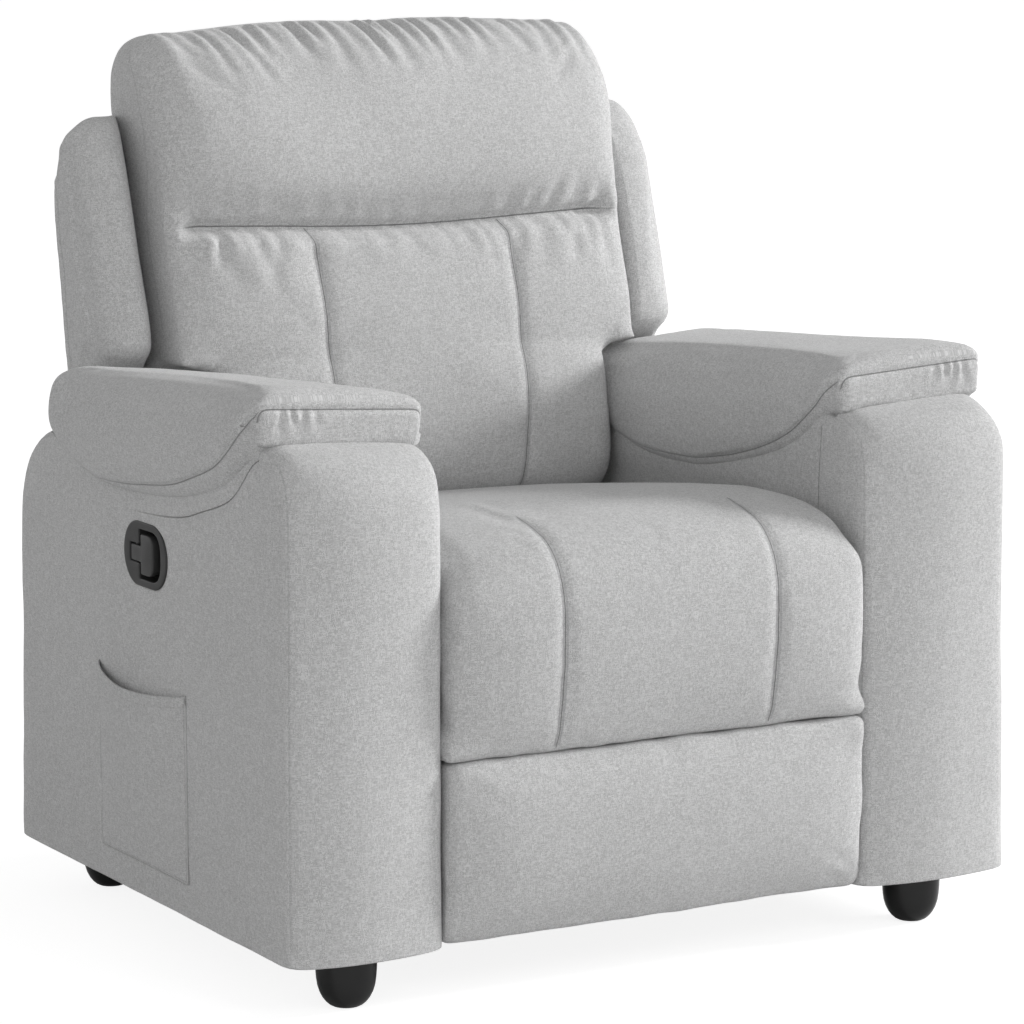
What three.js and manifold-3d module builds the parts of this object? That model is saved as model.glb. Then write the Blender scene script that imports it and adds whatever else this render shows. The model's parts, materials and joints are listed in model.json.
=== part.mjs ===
// Recliner armchair: two upholstered arms carry a steel mechanism, which carries the seat, the
// back and a folding footrest. Millimetres, +Z up, the front faces -Y. The origin is at the centre
// of the bounding box, on the floor. "Left" and "right" are the sitter's own: right is -X.

import * as THREE from "three";
import { mergeVertices } from "three/addons/utils/BufferGeometryUtils.js";
import Module from "manifold-3d";

const wasm = await Module();
wasm.setup();

// ---------------------------------------------------------------- driving dimensions

const overallWidth = 900;
const overallDepth = 806;
const overallHeight = 1015;
const seatProud = 10; // the seat cushion stands this far in front of the arms
const contactGap = 0.3; // between pieces that rest on each other

// Arms
const armWidth = 172;
const backReach = 76; // the back's top stands this far behind the arms
const armTopFront = 603;
const armTopRear = 560;
const armRearRound = 110; // length of the round from the top down to the rear edge
const armShoulder = 462; // where the rear edge ends and the round begins
const armRearLean = 17; // how far the rear edge leans forward at the shoulder
const armFrontRound = 68;
const armEdge = 12; // soft edge along both sides of an arm
const armWall = 22; // foam and cover over the arm's frame
const armPanel = 15; // plywood panel on the arm's inner side
const armBoard = 18; // bottom board that the feet screw into

// Arm pads
const padFront = 70;
const padRearInset = 106; // from the arm's rear
const padTopFront = 648;
const padTopRear = 624;
const padOverhang = 4; // past the arm's outer side
const padInnerOverhang = 12; // past the arm's inner side, over the seat
const apronDepth = 92; // how far the pad's sides hang below the arm's front top edge

// Feet
const footHeight = 60;
const footRadius = 33;
const footBottomRadius = 15;
const footFrontInset = 57;
const footRearInset = 60;
const studRadius = 4;
const studClearance = 0.3;

// Seat and footrest
const sideGap = 16; // between the arms and the cushions that move between them
const seatFrontTop = 495;
const seatRearTop = 457; // where the seat goes under the back cushion
const seatTongue = 90; // length of the seat under the back cushion
const seatBase = 352; // underside of the seat cushion, on its springs
const seatRollBottom = 262; // the seat cushion's front roll ends here
const seatRollThickness = 54;
const seatTuck = 12; // the seat cushion ends this far behind the recline pivots
const seatEdge = 11;
const seatFrameInset = 32; // the seat's frame ends this far in front of the recline pivots
const footrestPadTop = 256;
const footrestPadBottom = 60;
const footrestPadThickness = 32;
const footrestBoardThickness = 18;
const footrestBoardInset = 8;

// Back
const backLean = THREE.MathUtils.degToRad(9.5);
const backBottom = 250;
const backFrameBottom = 335;
const headRoll = 60; // the back cushion's head rises this far over the frame
const headCorner = 72;
const backFrameThickness = 28;
const backPanelThickness = 12;
const backPanelDrop = 30; // from the top of the head to the top of the outer back
const cushionOverlap = 27; // above the arms the back cushion covers this much of each
const cushionBottom = 432;
const cushionLip = 464; // lowest point of the back cushion's front
const channelHeight = 774;
const wingThickness = 75;
const wingDrop = 109; // from the top of the head to the top of the wings
const wingBottom = 604;
const wingDepth = 108;
const shoulderClear = 632; // the wide part of the back starts above the arm pads
const backDepth = 196; // from the recline pivots to the rear of the back's top

// Steel parts
const plate = 3;
const layerGap = 1; // running gap between neighbouring plates
const pinRadius = 5;
const pinClearance = 0.35;
const headRadius = 8.5;
const headHeight = 2;
const linkWidth = 20;
const tubeRadius = 8;
const crossTube = 25; // square tube between the two sides of the base
const reclineDrop = 100; // the seat hangs this far below its pivots ...
const reclineLead = 25; // ... and this far in front of them

// Wooden seat and back frames
const railWidth = 25;
const railHeight = 36;

// Handle in its oval cup
const handleHeight = 446;
const handleSetback = 360; // from the arm's front to the cup's centre
const cupLength = 110;
const cupHeight = 72;
const cupRim = 5;
const cupRimHeight = 2; // stands proud of the arm
const cupRimEdge = 0.8;
const cupDepth = 30;
const cupWall = 2.5;
const leverThickness = 9;
const leverPinRadius = 2.5;
const leverPinClearance = 0.3;
const mouthMargin = 8; // the cup's edge above and below its T-shaped mouth
const mouthFrontMargin = 14; // and in front of it
const mouthRearMargin = 16;
const mouthCorner = 18;
const mouthShoulder = 4; // the wide part of the mouth ends this far before the cup's rear round
const slotHalfHeight = 10.5; // the narrow part of the mouth, for the lever's tab
const leverGap = 5.5; // between the paddle and the mouth, above and below
const leverFingerGap = 13; // and in front of it
const leverShoulderGap = 2;
const leverTabGap = 1.5;
const leverEndGap = 3.5;
const leverPinGrip = 6.5; // each end of the pin is this deep in the cup

// Pocket on the right arm's outer side
const pocketFront = 259;
const pocketRear = 483;
const pocketTop = 306;
const pocketBottom = 97;
const pocketBulge = 9;
const pocketCloth = 1.8;
const pocketHem = 6;

// ---------------------------------------------------------------- derived places

const armFrontY = -overallDepth / 2 + seatProud;
const armLength = overallDepth - seatProud - backReach;
const armTopLength = armLength - armRearRound;
const padRear = armLength - padRearInset;
const armOuterX = overallWidth / 2;
const armInnerX = armOuterX - armWidth;
const armMidX = (armOuterX + armInnerX) / 2;
const seatHalfWidth = armInnerX - sideGap;
const cushionHalfWidth = armInnerX + cushionOverlap;
const wingHalfWidth = cushionHalfWidth + wingThickness;
const backFrameTop = overallHeight - headRoll;
const backPanelTop = overallHeight - backPanelDrop;
const wingTop = overallHeight - wingDrop;
const behind = (distance) => armFrontY + distance;

// A point on the side view: forward and up from p, at an angle above straight ahead.
const ahead = (p, distance, degrees) => {
  const a = THREE.MathUtils.degToRad(degrees);
  return { y: p.y - distance * Math.cos(a), z: p.z + distance * Math.sin(a) };
};
const offset = (p, dy, dz) => ({ y: p.y + dy, z: p.z + dz });

// Recline: the back's brackets and the front swing links are the two equal arms of a parallelogram,
// so the seat moves forward and up without tilting as the back leans.
const reclinePivot = { y: overallDepth / 2 - backDepth, z: 400 };
const seatRearPivot = offset(reclinePivot, -reclineLead, -reclineDrop);
const seatFrontPivot = { y: behind(360), z: 290 };
const swingPivot = offset(seatFrontPivot, reclineLead, reclineDrop);

// Footrest: two parallelograms in a row, four links a side. The footrest turns as if hinged at
// footrestCentre, in front of the seat, where no real hinge could be.
const footrestCentre = { y: behind(8), z: 408 };
const bracketHighPin = { y: behind(75), z: 258 };
const tiltSpacing = 50; // between the two pins on the lift link, and on the bracket
const reach = { y: -150, z: 118 }; // from the lift link to the bracket
const guideSpacing = 60;
const guideAngle = 193;
const liftAngle = THREE.MathUtils.radToDeg(
  Math.atan2(bracketHighPin.z - footrestCentre.z, footrestCentre.y - bracketHighPin.y),
);
const bracketLowPin = ahead(bracketHighPin, tiltSpacing, liftAngle);
const liftPivot = offset(footrestCentre, -reach.y, -reach.z);
const crossingPin = offset(bracketLowPin, -reach.y, -reach.z);
const tiltPin = offset(bracketHighPin, -reach.y, -reach.z);
const guidePivot = ahead(liftPivot, guideSpacing, guideAngle);
const guidePin = ahead(crossingPin, guideSpacing, guideAngle);

// Plates of the mechanism lie in layers, counted outwards from the seat's side plate.
const linkTop = seatHalfWidth + 4.3; // outer face of the outermost moving layer
const layerPitch = plate + layerGap;
const outerLayer = 3;
const layer = (n) => {
  const from = linkTop - plate - (outerLayer - n) * layerPitch;
  return [from, from + plate];
};
const seatPlateX = layer(0);
const basePlateX = [armInnerX - contactGap - plate, armInnerX - contactGap];
const railTopZ = seatBase - 4.5;
const railBottomZ = railTopZ - railHeight;
const railOuterX = seatPlateX[0] - contactGap;
const railInnerX = railOuterX - railWidth;

// Rear surface of the back: a plane that leans back by backLean.
const backRearTopY = overallDepth / 2;
const backRearY = (z) => backRearTopY - (backPanelTop - z) * Math.tan(backLean);
const panelFrontY = (z) => backRearY(z) - backPanelThickness - contactGap;
const frameFrontY = (z) => panelFrontY(z) - backFrameThickness;

// ---------------------------------------------------------------- solids

const sideView = new THREE.Matrix4().makeBasis(
  new THREE.Vector3(0, 1, 0),
  new THREE.Vector3(0, 0, 1),
  new THREE.Vector3(1, 0, 0),
);
const frontView = new THREE.Matrix4().makeBasis(
  new THREE.Vector3(1, 0, 0),
  new THREE.Vector3(0, 0, 1),
  new THREE.Vector3(0, -1, 0),
);

// A closed geometry as a manifold-3d solid, for joining and cutting.
function solid(geometry) {
  const bare = geometry.index ? geometry.toNonIndexed() : geometry.clone();
  bare.deleteAttribute("normal");
  bare.deleteAttribute("uv");
  const merged = mergeVertices(bare, 1e-4);
  return new wasm.Manifold(
    new wasm.Mesh({
      numProp: 3,
      vertProperties: merged.attributes.position.array,
      triVerts: new Uint32Array(merged.index.array),
    }),
  );
}

const join = (...parts) => parts.reduce((whole, part) => whole.add(part));
const cut = (whole, ...tools) => tools.reduce((rest, tool) => rest.subtract(tool), whole);

// Lies between x0 and x1 on the given side: +1 for the left, -1 for the right.
function mirroredSpan(side, [from, to]) {
  return side > 0 ? [from, to] : [-to, -from];
}

// Extrudes a side-view outline (Y, Z) along X, with edges rounded by bevel.
function acrossX(shape, [x0, x1], bevel = 0, curveSegments = 8) {
  const geometry = new THREE.ExtrudeGeometry(shape, {
    depth: x1 - x0 - 2 * bevel,
    bevelEnabled: bevel > 0,
    bevelThickness: bevel,
    bevelSize: bevel,
    bevelOffset: -bevel,
    bevelSegments: 2,
    curveSegments,
  });
  geometry.applyMatrix4(sideView).translate(x0 + bevel, 0, 0);
  return solid(geometry);
}

// Extrudes a front-view outline (X, Z) from y0 back to y1.
function alongY(shape, [y0, y1], bevel = 0, curveSegments = 8) {
  const geometry = new THREE.ExtrudeGeometry(shape, {
    depth: y1 - y0 - 2 * bevel,
    bevelEnabled: bevel > 0,
    bevelThickness: bevel,
    bevelSize: bevel,
    bevelOffset: -bevel,
    bevelSegments: 2,
    curveSegments,
  });
  geometry.applyMatrix4(frontView).translate(0, y1 - bevel, 0);
  return solid(geometry);
}

function block([x0, x1], [y0, y1], [z0, z1]) {
  const geometry = new THREE.BoxGeometry(x1 - x0, y1 - y0, z1 - z0);
  return solid(geometry.translate((x0 + x1) / 2, (y0 + y1) / 2, (z0 + z1) / 2));
}

// A round bar along X at point p of the side view.
function barX(p, radius, [x0, x1], segments = 12) {
  const geometry = new THREE.CylinderGeometry(radius, radius, x1 - x0, segments);
  geometry.rotateZ(Math.PI / 2).translate((x0 + x1) / 2, p.y, p.z);
  return solid(geometry);
}

function outline(points) {
  return new THREE.Shape(points.map(([a, b]) => new THREE.Vector2(a, b)));
}

// A flat link with round ends, between two points of the side view.
function linkShape(p, q, width = linkWidth) {
  const shape = new THREE.Shape();
  const angle = Math.atan2(q.z - p.z, q.y - p.y);
  const half = width / 2;
  shape.absarc(q.y, q.z, half, angle - Math.PI / 2, angle + Math.PI / 2);
  shape.absarc(p.y, p.z, half, angle + Math.PI / 2, angle + (3 * Math.PI) / 2);
  shape.closePath();
  return shape;
}

const linkPlate = (p, q, xs, width) => acrossX(linkShape(p, q, width), xs, 0, 6);
const pinHole = (p, xs) => barX(p, pinRadius + pinClearance, [xs[0] - 1, xs[1] + 1]);

// A riveted pin on the plate at xs: it runs to reach, through a neighbour, and ends in a head.
function rivet(p, xs, reach) {
  const outward = reach > xs[0];
  const shank = outward ? [xs[0], reach] : [reach, xs[1]];
  const head = outward ? [reach, reach + headHeight] : [reach - headHeight, reach];
  return join(barX(p, pinRadius, shank), barX(p, headRadius, head));
}

// ---------------------------------------------------------------- assembly

const armchair = new THREE.Group();

const finishes = {
  cloth: { color: 0xc4c5c8, roughness: 0.95, metalness: 0 },
  blackPlastic: { color: 0x141416, roughness: 0.25, metalness: 0 },
  darkPlastic: { color: 0x3a3b3d, roughness: 0.55, metalness: 0 },
  paintedSteel: { color: 0x2b2c2f, roughness: 0.45, metalness: 0.6 },
  springSteel: { color: 0x8e9092, roughness: 0.35, metalness: 0.9 },
  wood: { color: 0xc9a677, roughness: 0.8, metalness: 0 },
};

function add(name, manifold, finish) {
  const mesh = manifold.getMesh();
  const geometry = new THREE.BufferGeometry();
  geometry.setAttribute("position", new THREE.BufferAttribute(mesh.vertProperties, mesh.numProp));
  geometry.setIndex(new THREE.BufferAttribute(mesh.triVerts, 1));
  geometry.computeVertexNormals();
  const node = new THREE.Mesh(geometry, new THREE.MeshStandardMaterial(finishes[finish]));
  node.name = name;
  armchair.add(node);
}

const sides = [
  ["left", 1],
  ["right", -1],
];

// ---------------------------------------------------------------- arms

// Side view of an arm, drawn in from its outside by inset; its underside stays open to drop.
function armShape(inset, drop = 0) {
  const front = behind(inset);
  const bottom = footHeight - drop;
  const round = armFrontRound - inset;
  const rearTop = behind(armLength - armRearLean - inset);
  const shape = new THREE.Shape();
  shape.moveTo(front, bottom);
  shape.lineTo(behind(armLength - inset), bottom);
  shape.lineTo(rearTop, armShoulder);
  shape.bezierCurveTo(
    rearTop - 2, armShoulder + 50 - inset / 2,
    behind(armTopLength) + 45, armTopRear - 28 - inset,
    behind(armTopLength), armTopRear - inset,
  );
  shape.lineTo(front + round, armTopFront - inset);
  shape.quadraticCurveTo(front, armTopFront - inset, front, armTopFront - inset - round);
  shape.closePath();
  return shape;
}

function footPlaces() {
  return [
    ["front", behind(footFrontInset)],
    ["rear", behind(armLength - footRearInset)],
  ];
}

const handleCentre = { y: behind(handleSetback), z: handleHeight };

// An oval made of two half circles, lying along Y.
function ovalShape(centre, length, height) {
  const reach = (length - height) / 2;
  return linkShape(offset(centre, -reach, 0), offset(centre, reach, 0), height);
}

function armCover(side) {
  const body = acrossX(armShape(0), mirroredSpan(side, [armInnerX, armOuterX]), armEdge);
  const hollow = mirroredSpan(side, [armInnerX + armWall, armOuterX - armWall]);
  const shell = cut(body, acrossX(armShape(armWall, 5), hollow));
  if (side > 0) return shell;
  const cupHole = ovalShape(handleCentre, cupLength - 2 * cupRim, cupHeight - 2 * cupRim);
  return cut(shell, acrossX(cupHole, [-armOuterX - 5, -armOuterX + armWall + 5], 0, 10));
}

function armInnerPanel(side) {
  const from = armInnerX + armWall + contactGap;
  const shape = armShape(armWall + contactGap);
  return acrossX(shape, mirroredSpan(side, [from, from + armPanel]), 0, 6);
}

function armBottomBoard(side) {
  const from = armInnerX + armWall + armPanel + 2 * contactGap;
  const span = mirroredSpan(side, [from, armOuterX - armWall - contactGap]);
  const ends = [behind(armWall + contactGap), behind(armLength - armWall - 2 - contactGap)];
  const board = block(span, ends, [footHeight, footHeight + armBoard]);
  const studHoles = footPlaces().map(([, y]) =>
    footLathe([
      [0, footHeight - 1],
      [studRadius + studClearance, footHeight - 1],
      [studRadius + studClearance, footHeight + armBoard + 1],
      [0, footHeight + armBoard + 1],
    ]).translate([side * armMidX, y, 0]),
  );
  return cut(board, ...studHoles);
}

function footLathe(profile) {
  const points = profile.map(([r, z]) => new THREE.Vector2(r, z));
  return solid(new THREE.LatheGeometry(points, 20).rotateX(Math.PI / 2));
}

// A domed plastic foot with a small flat sole and the stud that screws into the bottom board.
function foot() {
  const top = footHeight - contactGap;
  const dome = 6;
  const profile = [[0, 0]];
  for (let i = 0; i <= dome; i++) {
    const t = (i / dome) * (Math.PI / 2);
    const r = footBottomRadius + (footRadius - footBottomRadius) * Math.sin(t);
    profile.push([r, (top - 22) * (1 - Math.cos(t))]);
  }
  profile.push([footRadius - 1.5, top], [studRadius, top]);
  profile.push([studRadius, top + armBoard], [0, top + armBoard]);
  return footLathe(profile);
}

// A saddle cushion over the arm: its sides hang as curved aprons, deepest towards the rear.
function armPad(side) {
  const rearEdge = armTopRear + 4;
  const along = (share) => behind(padFront + (padRear - padFront) * share);
  const shape = new THREE.Shape();
  shape.moveTo(behind(padFront), armTopFront - 4);
  shape.bezierCurveTo(
    along(0.11), armTopFront - 0.6 * apronDepth,
    along(0.24), armTopFront - apronDepth,
    along(0.55), armTopFront - apronDepth,
  );
  shape.bezierCurveTo(
    along(0.76), armTopFront - apronDepth,
    along(0.89), rearEdge - 38,
    along(1), rearEdge,
  );
  shape.lineTo(behind(padRear), padTopRear - 18);
  shape.quadraticCurveTo(behind(padRear), padTopRear, behind(padRear - 20), padTopRear);
  shape.lineTo(behind(padFront + 16), padTopFront);
  shape.quadraticCurveTo(behind(padFront), padTopFront, behind(padFront), padTopFront - 14);
  shape.closePath();
  const span = mirroredSpan(side, [armInnerX - padInnerOverhang, armOuterX + padOverhang]);
  const body = acrossX(shape, span, 6);
  const armSpace = mirroredSpan(side, [armInnerX - contactGap, armOuterX + contactGap]);
  return cut(body, acrossX(armShape(-contactGap, 5), armSpace));
}

for (const [name, side] of sides) {
  add(`arm_cover_${name}`, armCover(side), "cloth");
  add(`arm_inner_panel_${name}`, armInnerPanel(side), "wood");
  add(`arm_bottom_board_${name}`, armBottomBoard(side), "wood");
  add(`arm_pad_${name}`, armPad(side), "cloth");
  for (const [end, y] of footPlaces()) {
    add(`foot_${end}_${name}`, foot().translate([side * armMidX, y, 0]), "blackPlastic");
  }
}

// ---------------------------------------------------------------- pocket

// A pouch sewn to the arm along its sides and bottom, and open at the top.
function sidePocket() {
  const face = -armOuterX - contactGap;
  const corner = 10;
  const shape = new THREE.Shape();
  shape.moveTo(behind(pocketRear - 4), pocketTop + 2);
  shape.lineTo(behind(pocketFront), pocketTop);
  shape.lineTo(behind(pocketFront), pocketBottom + corner);
  shape.quadraticCurveTo(
    behind(pocketFront), pocketBottom,
    behind(pocketFront + corner), pocketBottom,
  );
  shape.lineTo(behind(pocketRear - corner), pocketBottom);
  shape.quadraticCurveTo(
    behind(pocketRear), pocketBottom,
    behind(pocketRear), pocketBottom + corner,
  );
  shape.closePath();
  const body = acrossX(shape, [face - pocketBulge, face], 0, 4);
  const room = block(
    [face - pocketBulge + pocketCloth, face + 1],
    [behind(pocketFront + pocketHem), behind(pocketRear - pocketHem)],
    [pocketBottom + pocketHem, pocketTop + 10],
  );
  return cut(body, room);
}

add("side_pocket", sidePocket(), "cloth");

// ---------------------------------------------------------------- release handle

// The mouth's and the lever's edges, from the cup's centre.
const mouthHalfHeight = cupHeight / 2 - mouthMargin;
const mouthFront = cupLength / 2 - mouthFrontMargin;
const mouthRear = (cupLength - cupHeight) / 2 - mouthShoulder;
const slotEnd = cupLength / 2 - mouthRearMargin;
const leverHalfHeight = mouthHalfHeight - leverGap;
const leverFront = mouthFront - leverFingerGap;
const leverShoulder = mouthRear - leverShoulderGap;
const leverPinSetback = slotEnd - leverEndGap - leverThickness / 2;
const leverPinReach = slotHalfHeight + leverPinGrip;
const cupMouthX = -armOuterX - contactGap - cupRimHeight; // outer face of the cup's rim
const cupFloorX = cupMouthX + cupDepth;
const leverFaceX = cupMouthX + 2;
const leverPin = { x: leverFaceX + leverThickness / 2, y: handleCentre.y + leverPinSetback };

// A T lying on its side: wide from -front to shoulder, with rounded front corners, then narrow.
function teeShape(front, shoulder, end, wideHalf, narrowHalf, corner) {
  const at = (y, z) => [handleCentre.y + y, handleHeight + z];
  const shape = new THREE.Shape();
  shape.moveTo(...at(corner - front, -wideHalf));
  shape.lineTo(...at(shoulder, -wideHalf));
  shape.lineTo(...at(shoulder, -narrowHalf));
  shape.lineTo(...at(end, -narrowHalf));
  shape.lineTo(...at(end, narrowHalf));
  shape.lineTo(...at(shoulder, narrowHalf));
  shape.lineTo(...at(shoulder, wideHalf));
  shape.lineTo(...at(corner - front, wideHalf));
  shape.quadraticCurveTo(...at(-front, wideHalf), ...at(-front, wideHalf - corner));
  shape.lineTo(...at(-front, corner - wideHalf));
  shape.quadraticCurveTo(...at(-front, -wideHalf), ...at(corner - front, -wideHalf));
  return shape;
}

function leverPinBar(radius, length) {
  const geometry = new THREE.CylinderGeometry(radius, radius, length, 12);
  return solid(geometry.rotateX(Math.PI / 2).translate(leverPin.x, leverPin.y, handleHeight));
}

function leverBezel() {
  const rim = ovalShape(handleCentre, cupLength, cupHeight);
  const neck = ovalShape(
    handleCentre,
    cupLength - 2 * cupRim - 2 * contactGap,
    cupHeight - 2 * cupRim - 2 * contactGap,
  );
  const room = teeShape(
    mouthFront, mouthRear, slotEnd,
    mouthHalfHeight, slotHalfHeight, mouthCorner,
  );
  const body = join(
    acrossX(rim, [cupMouthX, -armOuterX - contactGap], cupRimEdge, 8),
    acrossX(neck, [cupMouthX + cupRimEdge, cupFloorX + cupWall], 0, 8),
  );
  const pinBore = leverPinBar(leverPinRadius, 2 * leverPinReach + 1);
  return cut(body, acrossX(room, [cupMouthX - 1, cupFloorX], 0, 8), pinBore);
}

// The T-shaped lever: a tab on the pin at the rear and a wide paddle in front of it.
function releaseLever() {
  const tabHalf = slotHalfHeight - leverTabGap;
  const tabEnd = leverPinSetback + leverThickness / 2;
  const corner = 8;
  const tee = teeShape(leverFront, leverShoulder, tabEnd, leverHalfHeight, tabHalf, corner);
  const body = acrossX(tee, [leverFaceX, leverFaceX + leverThickness], 1.2, 6);
  return cut(body, leverPinBar(leverPinRadius + leverPinClearance, 30));
}

add("lever_bezel", leverBezel(), "darkPlastic");
add("release_lever", releaseLever(), "blackPlastic");
add("lever_pin", leverPinBar(leverPinRadius - contactGap / 2, 2 * leverPinReach), "springSteel");

// ---------------------------------------------------------------- base

const plateFront = 250;
const basePlateBottom = 78;
const slotInset = 55; // the slots that lighten the plate end this far inside its pivots
const slotHeight = 50;

// A pressed side plate: a long foot along the floor side of the arm, with a raised rear part
// that carries the recline pivot and the front swing link.
function baseSidePlate(side) {
  const shape = new THREE.Shape();
  const rise = 16;
  const ends = [behind(plateFront), reclinePivot.y + 80];
  shape.moveTo(ends[0], basePlateBottom);
  shape.lineTo(ends[1], basePlateBottom);
  shape.lineTo(ends[1], basePlateBottom + 52);
  shape.lineTo(reclinePivot.y + rise, reclinePivot.z - 10);
  shape.quadraticCurveTo(
    reclinePivot.y + rise, reclinePivot.z + rise,
    reclinePivot.y - 6, reclinePivot.z + rise,
  );
  shape.lineTo(swingPivot.y, swingPivot.z + rise);
  shape.quadraticCurveTo(
    swingPivot.y - rise, swingPivot.z + rise,
    swingPivot.y - rise, swingPivot.z - 4,
  );
  shape.lineTo(ends[0] + 80, basePlateBottom + 82);
  shape.lineTo(ends[0], basePlateBottom + 40);
  shape.closePath();
  const span = mirroredSpan(side, basePlateX);
  const inner = side > 0 ? span[0] : span[1];
  const pivots = [reclinePivot, swingPivot].map((p) => {
    const reach = inner - side * (basePlateX[0] - layer(outerLayer)[0] + 0.5);
    return join(
      barX(p, pinRadius, side > 0 ? [reach, inner + 1] : [inner - 1, reach]),
      barX(p, headRadius, mirroredSpan(side, [linkTop + 0.5, basePlateX[0] + 0.5])),
    );
  });
  const slots = [70, 200].map((drop) => {
    const front = offset(swingPivot, slotInset, -drop);
    const rear = offset(reclinePivot, -slotInset, -drop);
    return acrossX(linkShape(front, rear, slotHeight), [span[0] - 1, span[1] + 1], 0, 6);
  });
  return join(cut(acrossX(shape, span, 0, 6), ...slots), ...pivots);
}

const crossTubeZ = [basePlateBottom + 1, basePlateBottom + 1 + crossTube];
const crossTubeX = basePlateX[0] - contactGap;

function baseCrossTube(front) {
  const ys = [front, front + crossTube];
  const wall = 2;
  const tube = block([-crossTubeX, crossTubeX], ys, crossTubeZ);
  const bore = block(
    [-crossTubeX - 1, crossTubeX + 1],
    [ys[0] + wall, ys[1] - wall],
    [crossTubeZ[0] + wall, crossTubeZ[1] - wall],
  );
  return cut(tube, bore);
}

for (const [name, side] of sides) {
  add(`base_side_plate_${name}`, baseSidePlate(side), "paintedSteel");
}
add("base_cross_tube_front", baseCrossTube(behind(plateFront + 80)), "paintedSteel");
add("base_cross_tube_rear", baseCrossTube(reclinePivot.y + 40), "paintedSteel");

// ---------------------------------------------------------------- seat

function seatSidePlate(side) {
  const xs = mirroredSpan(side, seatPlateX);
  const shape = outline([
    [liftPivot.y - 20, liftPivot.z + 4],
    [liftPivot.y - 6, liftPivot.z - 16],
    [guidePivot.y + 4, guidePivot.z - 14],
    [seatFrontPivot.y, seatFrontPivot.z - 14],
    [seatRearPivot.y + 4, seatRearPivot.z - 16],
    [seatRearPivot.y + 15, seatRearPivot.z],
    [seatRearPivot.y + 4, railTopZ - 4],
    [liftPivot.y - 20, railTopZ - 4],
  ]);
  const pin = (p, n) => rivet(p, xs, side * (layer(n)[1] + 0.4));
  const slotEnds = [offset(seatFrontPivot, 50, 4), offset(seatRearPivot, -50, -4)];
  const slot = acrossX(linkShape(...slotEnds, 14), [xs[0] - 1, xs[1] + 1], 0, 6);
  const torqueHole = barX(liftPivot, tubeRadius + pinClearance, [xs[0] - 1, xs[1] + 1], 24);
  const pins = [pin(guidePivot, 1), pin(seatFrontPivot, outerLayer), pin(seatRearPivot, outerLayer)];
  return cut(join(acrossX(shape, xs), ...pins), torqueHole, slot);
}

const seatFrameY = [
  behind(seatRollThickness - seatProud + contactGap),
  reclinePivot.y - seatFrameInset,
];

function seatSideRail(side) {
  return block(mirroredSpan(side, [railInnerX, railOuterX]), seatFrameY, [railBottomZ, railTopZ]);
}

function seatCrossRail(ys) {
  const reach = railInnerX - contactGap;
  return block([-reach, reach], ys, [railBottomZ, railTopZ]);
}

// A sinuous wire spring from the front rail to the rear rail.
function seatSpring(x) {
  const wire = 1.8;
  const swing = 20;
  const bends = 9;
  const start = seatFrameY[0] + 6;
  const end = seatFrameY[1] - 6;
  const stepsPerBend = 4;
  const points = [];
  for (let i = 0; i <= bends * stepsPerBend; i++) {
    const t = i / (bends * stepsPerBend);
    const wave = Math.sin(t * bends * Math.PI);
    const skew = 0.16 * Math.sin(2 * t * bends * Math.PI);
    const y = start + (t + skew / bends) * (end - start);
    points.push(new THREE.Vector3(x + swing * wave, y, railTopZ + contactGap + wire));
  }
  const section = new THREE.Shape().absarc(0, 0, wire, 0, 2 * Math.PI);
  const path = new THREE.CatmullRomCurve3(points);
  const wireGeometry = new THREE.ExtrudeGeometry(section, {
    steps: bends * stepsPerBend,
    extrudePath: path,
    bevelEnabled: false,
    curveSegments: 3,
  });
  return solid(wireGeometry);
}

// Side view of the seat cushion: a flat top, a round front edge and a roll down to the footrest.
function seatCushionShape() {
  const front = behind(-seatProud);
  const rollBack = front + seatRollThickness;
  const rear = reclinePivot.y + seatTuck;
  const shape = new THREE.Shape();
  shape.moveTo(rollBack, seatRollBottom);
  shape.lineTo(front + 16, seatRollBottom);
  shape.quadraticCurveTo(front, seatRollBottom, front, seatRollBottom + 24);
  shape.lineTo(front, seatFrontTop - 74);
  shape.quadraticCurveTo(front + 4, seatFrontTop, front + 92, seatFrontTop);
  shape.lineTo(rear - seatTongue, seatRearTop);
  shape.quadraticCurveTo(rear - 10, seatRearTop - 8, rear, seatRearTop - 46);
  shape.lineTo(rear, seatBase);
  shape.lineTo(rollBack, seatBase);
  shape.closePath();
  return shape;
}

for (const [name, side] of sides) {
  add(`seat_side_plate_${name}`, seatSidePlate(side), "paintedSteel");
  add(`seat_side_rail_${name}`, seatSideRail(side), "wood");
}
const [frameFront, frameRear] = seatFrameY;
add("seat_front_rail", seatCrossRail([frameFront, frameFront + railWidth]), "wood");
add("seat_rear_rail", seatCrossRail([frameRear - railWidth, frameRear]), "wood");
const springCount = 4;
for (let i = 0; i < springCount; i++) {
  const x = railInnerX * ((2 * i + 1) / springCount - 1) * 0.9;
  add(`seat_spring_${i + 1}`, seatSpring(x), "springSteel");
}
add("seat_cushion", acrossX(seatCushionShape(), [-seatHalfWidth, seatHalfWidth], seatEdge), "cloth");

// ---------------------------------------------------------------- front swing links

function swingLink(side) {
  const xs = mirroredSpan(side, layer(outerLayer));
  const bar = linkPlate(swingPivot, seatFrontPivot, xs);
  return cut(bar, pinHole(swingPivot, xs), pinHole(seatFrontPivot, xs));
}

for (const [name, side] of sides) add(`swing_link_${name}`, swingLink(side), "paintedSteel");

// ---------------------------------------------------------------- footrest linkage

function liftLink(side) {
  const xs = mirroredSpan(side, layer(1));
  const bar = linkPlate(liftPivot, crossingPin, xs, linkWidth + 4);
  const reach = side * (layer(2)[1] + 0.4);
  return join(bar, rivet(crossingPin, xs, reach), rivet(tiltPin, xs, reach));
}

function torqueTube() {
  const reach = layer(1)[0] - contactGap;
  return barX(liftPivot, tubeRadius, [-reach, reach], 24);
}

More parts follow.
